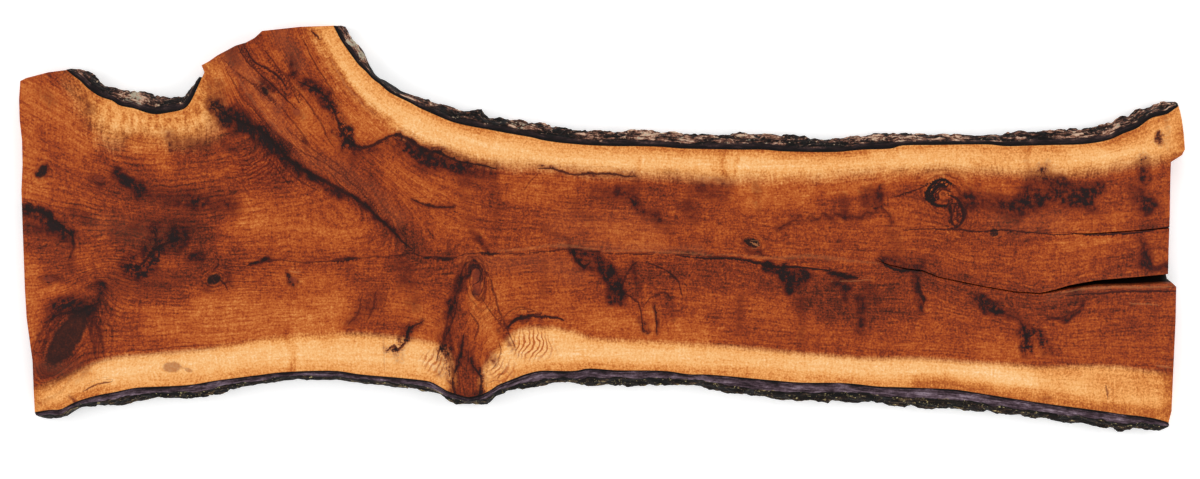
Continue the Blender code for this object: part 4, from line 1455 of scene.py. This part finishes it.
def marked_wood(tree, colour, patterns, marks, knots, crack_wall_shade):
    """Smoke and stains eaten into by the patterns, then knots, lines, and painted shade on the
    cracks' walls.
    """
    dark, line, strength = marks
    reach, knot_dark, _ = knots
    # The noise grows with the stain, so that faint smoke never turns black
    eaten = summed(tree, 1.0, patterns, STAIN_WEIGHTS)
    eaten = add(tree, "Math", (eaten, dark), operation="MULTIPLY")
    smoke = add(tree, "MapRange", (eaten, 0.0, 0.95), **SMOOTH)
    stain = add(tree, "MapRange", (eaten, 0.58, 1.1), **SMOOTH)
    full = add(tree, "MapRange", (dark, 0.1, 0.75))
    stain = add(tree, "Math", (stain, full), operation="MULTIPLY")
    # A dark knot is black with a grain, and a sound one is a plain red-brown
    core = summed(tree, reach, patterns, {"smoke": 0.9, "flecks": 1.0})
    core = add(tree, "MapRange", (core, 1.2, 0.8), **SMOOTH)
    core = add(tree, "Math", (core, knot_dark), operation="MULTIPLY")
    lit = summed(tree, 0.0, patterns, {"streaks": 1.0, "flecks": 1.0, "grit": 1.0})
    lit = add(tree, "MapRange", (lit, 0.02, 0.3), **SMOOTH)
    inside = {FACTOR: lit, FIRST: linear(KNOT_COLOUR), SECOND: linear(KNOT_GRAIN_COLOUR)}
    inside = add(tree, "Mix", inside, MIXED, data_type="RGBA")
    sound = add(tree, "MapRange", (knot_dark, 0.8, 0.6))
    inside = {FACTOR: sound, FIRST: inside, SECOND: linear(SOUND_KNOT_COLOUR)}
    inside = add(tree, "Mix", inside, MIXED, data_type="RGBA")
    # A faint line is a warm brown, and only a strong one turns black
    width = summed(tree, line, patterns, {"flecks": 2.4, "smoke": 0.8, "grit": 1.3})
    width = add(tree, "Math", (width,), operation="ABSOLUTE")
    width = add(tree, "MapRange", (width, 1.2, 0.4), **SMOOTH)
    faint = add(tree, "Math", (width, strength), operation="MULTIPLY", use_clamp=True)
    strong = add(tree, "Math", (faint, 2.0), operation="POWER")
    # A line of negative strength is paler wood, and one of them is a painted glint on the almond
    # knot
    light = add(tree, "Math", (strength, -1.0), operation="MULTIPLY")
    light = add(tree, "Math", (width, light), operation="MULTIPLY", use_clamp=True)
    layers = (
        (smoke, linear(SMOKE_TINT), "MULTIPLY"),
        (stain, linear(STAIN_COLOUR), "MIX"),
        (core, inside, "MIX"),
        (faint, linear(LINE_TINT), "MULTIPLY"),
        (strong, linear(LINE_COLOUR), "MIX"),
        (light, linear(PALE_LINE_AND_GLINT_COLOUR), "MIX"),
        # The cracks' walls are painted near black, as shade deep in the split
        (crack_wall_shade, linear(CRACK_SHADE_COLOUR), "MIX"),
    )
    for share, over, blend in layers:
        layer = {FACTOR: share, FIRST: colour, SECOND: over}
        colour = add(tree, "Mix", layer, MIXED, data_type="RGBA", blend_type=blend)
    return colour


def oiled_walnut():
    """The wood's material."""
    material, tree, surface = new_material("oiled_black_walnut")
    grain = add(tree, "Attribute", (), "Vector", attribute_name="grain")
    maps = {}
    for name in ("zones", "marks", "tone", "knots", "figure"):
        vector = add(tree, "Attribute", (), "Vector", attribute_name=name)
        maps[name] = add(tree, "SeparateXYZ", (vector,)).node.outputs
    patterns = wood_patterns(tree, grain)
    colour = plain_wood(tree, patterns, maps["zones"], maps["tone"], maps["figure"][2])
    colour = figured_wood(tree, colour, patterns, maps["figure"], maps["knots"])
    colour = marked_wood(
        tree, colour, patterns, maps["marks"], maps["knots"], maps["zones"][2]
    )
    tree.links.new(colour, surface.inputs["Base Color"])
    sheen = add(tree, "Math", (patterns["fibres"], 0.3, 0.46), operation="MULTIPLY_ADD")
    tree.links.new(sheen, surface.inputs["Roughness"])
    surface.inputs["IOR"].default_value = 1.48
    surface.inputs["Specular IOR Level"].default_value = 0.2
    relief = {"Strength": 0.25, "Distance": 0.0006, "Height": patterns["fibres"]}
    tree.links.new(add(tree, "Bump", relief), surface.inputs["Normal"])
    return material


wood.data.materials.append(oiled_walnut())
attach(wood, "root")
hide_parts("wood")
print("wood material:", wood.data.materials[0].name)

# %% [markdown]
# ## The bark
#
# Walnut bark has two faces here. Where the saw went through it, it is smooth: dark
# purple-brown below, almost black above, with a black line where it meets the wood.
# Outside that it is raw bark: long flat plates parted by furrows. The solid model
# already has the strips' shape, so each one is copied, divided finely, and pushed
# in and out sideways by a pattern of plates. Pushing it only sideways leaves the
# sawn faces flat.

# %% Plates and furrows
BARK_CUTS = 3
# Sizes of the plates in metres, then how they bend, part, tilt and crumble
PLATE_LENGTH = 0.045
PLATE_WIDTH = 0.011
PLATE_HEIGHT = 0.013
PLATE_BEND = 0.7
FURROW_SHARE = 0.35
PLATE_MIDDLE = 0.55
PLATE_TILT = 0.9
TILT_SEED = Vector((3.1, 0, 20))
CRUMB_SHARE = 0.45
CRUMB_SIZE = 0.0055
# Metres from the wood where the relief starts, and over which it rises
RELIEF_START = 0.003
RELIEF_RISE = 0.008
# At least this much bark stays on the wood
KEPT_BARK = 0.0016
# The sawn look ends this far down the wall, and sawn faces are shaded flat
SAWN_DEPTH = 0.0012
SAWN_LEVEL = 0.95
# Places with pale, flaky plates or lichen: photograph pixels, radius and strength
PALE_BARK = (
    (133, 96, 10, 1.2), (122, 92, 6, 0.7), (154, 100, 8, 0.5), (78, 74, 8, 0.5),
    (352, 44, 9, 1.2), (361, 55, 7, 1.2), (340, 32, 6, 0.4),
    (409, 97, 7, 0.7), (432, 106, 6, 0.7), (524, 127, 13, 0.8), (545, 125, 8, 0.6),
    (600, 133, 20, 0.55), (645, 136, 18, 0.75), (678, 138, 16, 0.7), (706, 141, 10, 0.5),
    (751, 142, 10, 0.7), (771, 143, 12, 0.7), (862, 139, 10, 0.5), (895, 137, 16, 0.55),
    (925, 137, 12, 0.5), (960, 138, 12, 0.6), (1010, 138, 10, 0.4), (1072, 137, 9, 0.65),
    (1062, 134, 8, 0.7), (1120, 121, 14, 0.6), (1158, 106, 9, 0.6),
)


def dressed_bark(node_name, name, relief, seed):
    """A finely divided copy of a strip of bark with plates, and its attributes."""
    mesh = merged_copy(node_name)
    bmesh.ops.subdivide_edges(mesh, edges=mesh.edges, cuts=BARK_CUTS, use_grid_fill=True)
    alongs, outs, depths, plates, pale = [], [], [], [], []
    for vert in mesh.verts:
        x, y, z = vert.co
        place, index, _ = edge_tree.find((x, y, 0))
        run = edge_line[index][2]
        away = Vector((x - place.x, y - place.y, 0))
        depth = THICKNESS - z
        out = away.length - FLARE * depth
        spot = Vector((run / PLATE_LENGTH, out / PLATE_WIDTH + seed, z / PLATE_HEIGHT))
        bend = noise.noise(spot * PLATE_BEND)
        nearest, second = noise.voronoi(spot + Vector((0, bend, bend)))[0][:2]
        plate = min((second - nearest) / FURROW_SHARE, 1.0)
        tilt = noise.noise(spot + TILT_SEED)
        crumb = noise.noise(Vector((x, y, z)) / CRUMB_SIZE)
        push = relief * (plate - PLATE_MIDDLE + PLATE_TILT * tilt + CRUMB_SHARE * crumb)
        share = min(max((out - RELIEF_START) / RELIEF_RISE, 0.0), 1.0)
        push = max(push * share, KEPT_BARK - out) if out > KEPT_BARK else 0.0
        if away.length > 0:
            vert.co += away.normalized() * push
        px, py = to_photo(x, y)
        paleness = max(
            strength * max(0.0, 1 - math.hypot(px - cx, py - cy) / (2 * radius))
            for cx, cy, radius, strength in PALE_BARK
        )
        alongs.append(run)
        outs.append(out + push)
        depths.append(depth)
        plates.append(plate)
        pale.append(paleness)
    bark = object_from(mesh, name)
    for polygon in bark.data.polygons:
        polygon.use_smooth = abs(polygon.normal.z) < SAWN_LEVEL
    store(bark.data, "grain", alongs, outs, depths)
    below_sawn = [min(depth / SAWN_DEPTH, 1.0) for depth in depths]
    store(bark.data, "plates", plates, pale, below_sawn)
    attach(bark, "root")
    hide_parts(node_name)
    print(name, "triangles:", sum(len(p.vertices) - 2 for p in bark.data.polygons))
    return bark


bark_strips = {
    "bark_lower": dressed_bark("bark_lower", "lower_edge_bark", 0.0024, 2.0),
    "bark_upper": dressed_bark("bark_upper", "upper_edge_bark", 0.0036, 9.0),
    "bark_notch": dressed_bark("bark_notch", "notch_bark", 0.0030, 15.0),
}

# %% [markdown]
# ## Bark colours
#
# The sawn bark is matt and slightly waxy, and its fibres show as fine streaks along
# the edge; on the lower strip its lighter, lilac streaks are a painted sheen. The raw
# bark is dry and rough, and its furrows are painted darker than its plates: their own
# dark colour with painted shade. One function makes both barks from their own colours,
# because they are the same material cut from a damp and from a dry side of the tree.

# %% Sawn and raw bark
# Two ramps, a fleck colour, the width of the sawn band and of the black joint line
BarkColours = namedtuple("BarkColours", "sawn raw fleck band joint")
# The lower bark's lilac stops at the top of its sawn ramp are a painted sheen over its
# purple-brown
LOWER_BARK = BarkColours(
    ((0.0, "#0C0608"), (0.25, "#21141A"), (0.5, "#413038"), (0.75, "#66535E"), (1.0, "#94828E")),
    ((0.0, "#050302"), (0.4, "#130B08"), (0.62, "#2A1B14"), (0.82, "#54402C"), (1.0, "#8C7850")),
    "#D8C88C", 0.017, 0.003,
)
UPPER_BARK = BarkColours(
    ((0.0, "#0B0607"), (0.4, "#180E10"), (0.65, "#2B1D1E"), (0.85, "#46322F"), (1.0, "#6A4C44")),
    ((0.0, "#060302"), (0.3, "#140A08"), (0.5, "#35201A"), (0.66, "#6A4334"), (0.84, "#9C6E58"),
     (1.0, "#D0AE94")),
    "#C4AE90", 0.0115, 0.0046,
)
LICHEN_COLOUR = "#9C9C88"
JOINT_COLOUR = "#060303"
# name: (length along the edge, width across it, height, detail, roughness)
BARK_PATTERNS = {
    "patches": (55, 30, 20, 2.0, 0.5),
    "strands": (38, 2.6, 6, 4.0, 0.65),
    "scales": (14, 4.5, 7, 4.0, 0.65),
    "grit": (3.4, 3.4, 3.4, 3.0, 0.7),
}
SAWN_WEIGHTS = {"patches": 1.0, "strands": 1.5, "scales": 1.3, "grit": 0.5}
RAW_WEIGHTS = {"patches": 1.1, "strands": 2.2, "scales": 2.0, "grit": 0.9}
# Each pattern reads the noise at another place, this many features further on
BARK_OFFSET = 5.1


def walnut_bark(name, colours):
    """Bark, smooth where it was sawn and rough where it grew."""
    material, tree, surface = new_material(name)
    grain = add(tree, "Attribute", (), "Vector", attribute_name="grain")
    out = add(tree, "SeparateXYZ", (grain,), "Y")
    vector = add(tree, "Attribute", (), "Vector", attribute_name="plates")
    plate, pale, deep = add(tree, "SeparateXYZ", (vector,)).node.outputs
    patterns = {}
    for number, (kind, (*size, detail, rough)) in enumerate(BARK_PATTERNS.items()):
        patterns[kind] = centred_noise(tree, grain, size, detail, rough, number * BARK_OFFSET)

    # The sawn band is painted lighter away from the wood, a painted highlight on its rounded cut
    sawn = add(tree, "MapRange", (out, 0.003, 0.009, 0.36, 0.6), **SMOOTH)
    sawn = summed(tree, sawn, patterns, SAWN_WEIGHTS)
    sawn = add(tree, "ValToRGB", (sawn,), stops=colours.sawn)
    # Plate tops are lighter and furrows darker: the bark's dark furrows with painted shade in them
    raw = add(tree, "Math", (plate, 0.3, 0.16), operation="MULTIPLY_ADD")
    raw = add(tree, "Math", (pale, 0.5, raw), operation="MULTIPLY_ADD")
    raw = summed(tree, raw, patterns, RAW_WEIGHTS)
    raw = add(tree, "ValToRGB", (raw,), stops=colours.raw)
    fleck = summed(tree, 0.0, patterns, {"grit": 1.0, "scales": 1.0})
    fleck = add(tree, "MapRange", (fleck, 0.16, 0.27, 0.0, 0.85), **SMOOTH)
    flecked = {FACTOR: fleck, FIRST: raw, SECOND: linear(colours.fleck)}
    raw = add(tree, "Mix", flecked, MIXED, data_type="RGBA")
    lichen = summed(tree, pale, patterns, {"scales": 2.4, "grit": 1.6})
    lichen = add(tree, "MapRange", (lichen, 0.85, 1.05, 0.0, 0.75), **SMOOTH)
    crusted = {FACTOR: lichen, FIRST: raw, SECOND: linear(LICHEN_COLOUR)}
    raw = add(tree, "Mix", crusted, MIXED, data_type="RGBA")

    # The sawn band ends raggedly where the raw bark begins, or lower down the wall
    reach = summed(tree, out, patterns, {"scales": 0.012, "patches": 0.012})
    band = (reach, colours.band, colours.band + 0.002)
    grown = add(tree, "MapRange", band, **SMOOTH)
    below = summed(tree, deep, patterns, {"scales": 0.8})
    below = add(tree, "MapRange", (below, 0.3, 0.6), **SMOOTH)
    grown = add(tree, "Math", (grown, below), operation="MAXIMUM")
    barks = {FACTOR: grown, FIRST: sawn, SECOND: raw}
    colour = add(tree, "Mix", barks, MIXED, data_type="RGBA")
    joint = summed(tree, out, patterns, {"scales": 0.004, "patches": 0.006})
    edge = (joint, colours.joint * 1.2, colours.joint * 0.6, 0.0, 0.9)
    black = add(tree, "MapRange", edge, **SMOOTH)
    joined = {FACTOR: black, FIRST: colour, SECOND: linear(JOINT_COLOUR)}
    colour = add(tree, "Mix", joined, MIXED, data_type="RGBA")
    tree.links.new(colour, surface.inputs["Base Color"])
    surface.inputs["Roughness"].default_value = 0.8
    surface.inputs["Specular IOR Level"].default_value = 0.2
    relief = {"Strength": 0.6, "Distance": 0.002, "Height": patterns["strands"]}
    tree.links.new(add(tree, "Bump", relief), surface.inputs["Normal"])
    return material


purple_bark = walnut_bark("sawn_purple_brown_bark", LOWER_BARK)
plated_bark = walnut_bark("plated_grey_brown_bark", UPPER_BARK)
bark_strips["bark_lower"].data.materials.append(purple_bark)
bark_strips["bark_upper"].data.materials.append(plated_bark)
bark_strips["bark_notch"].data.materials.append(plated_bark)
print("barks dressed:", sorted(bark_strips))
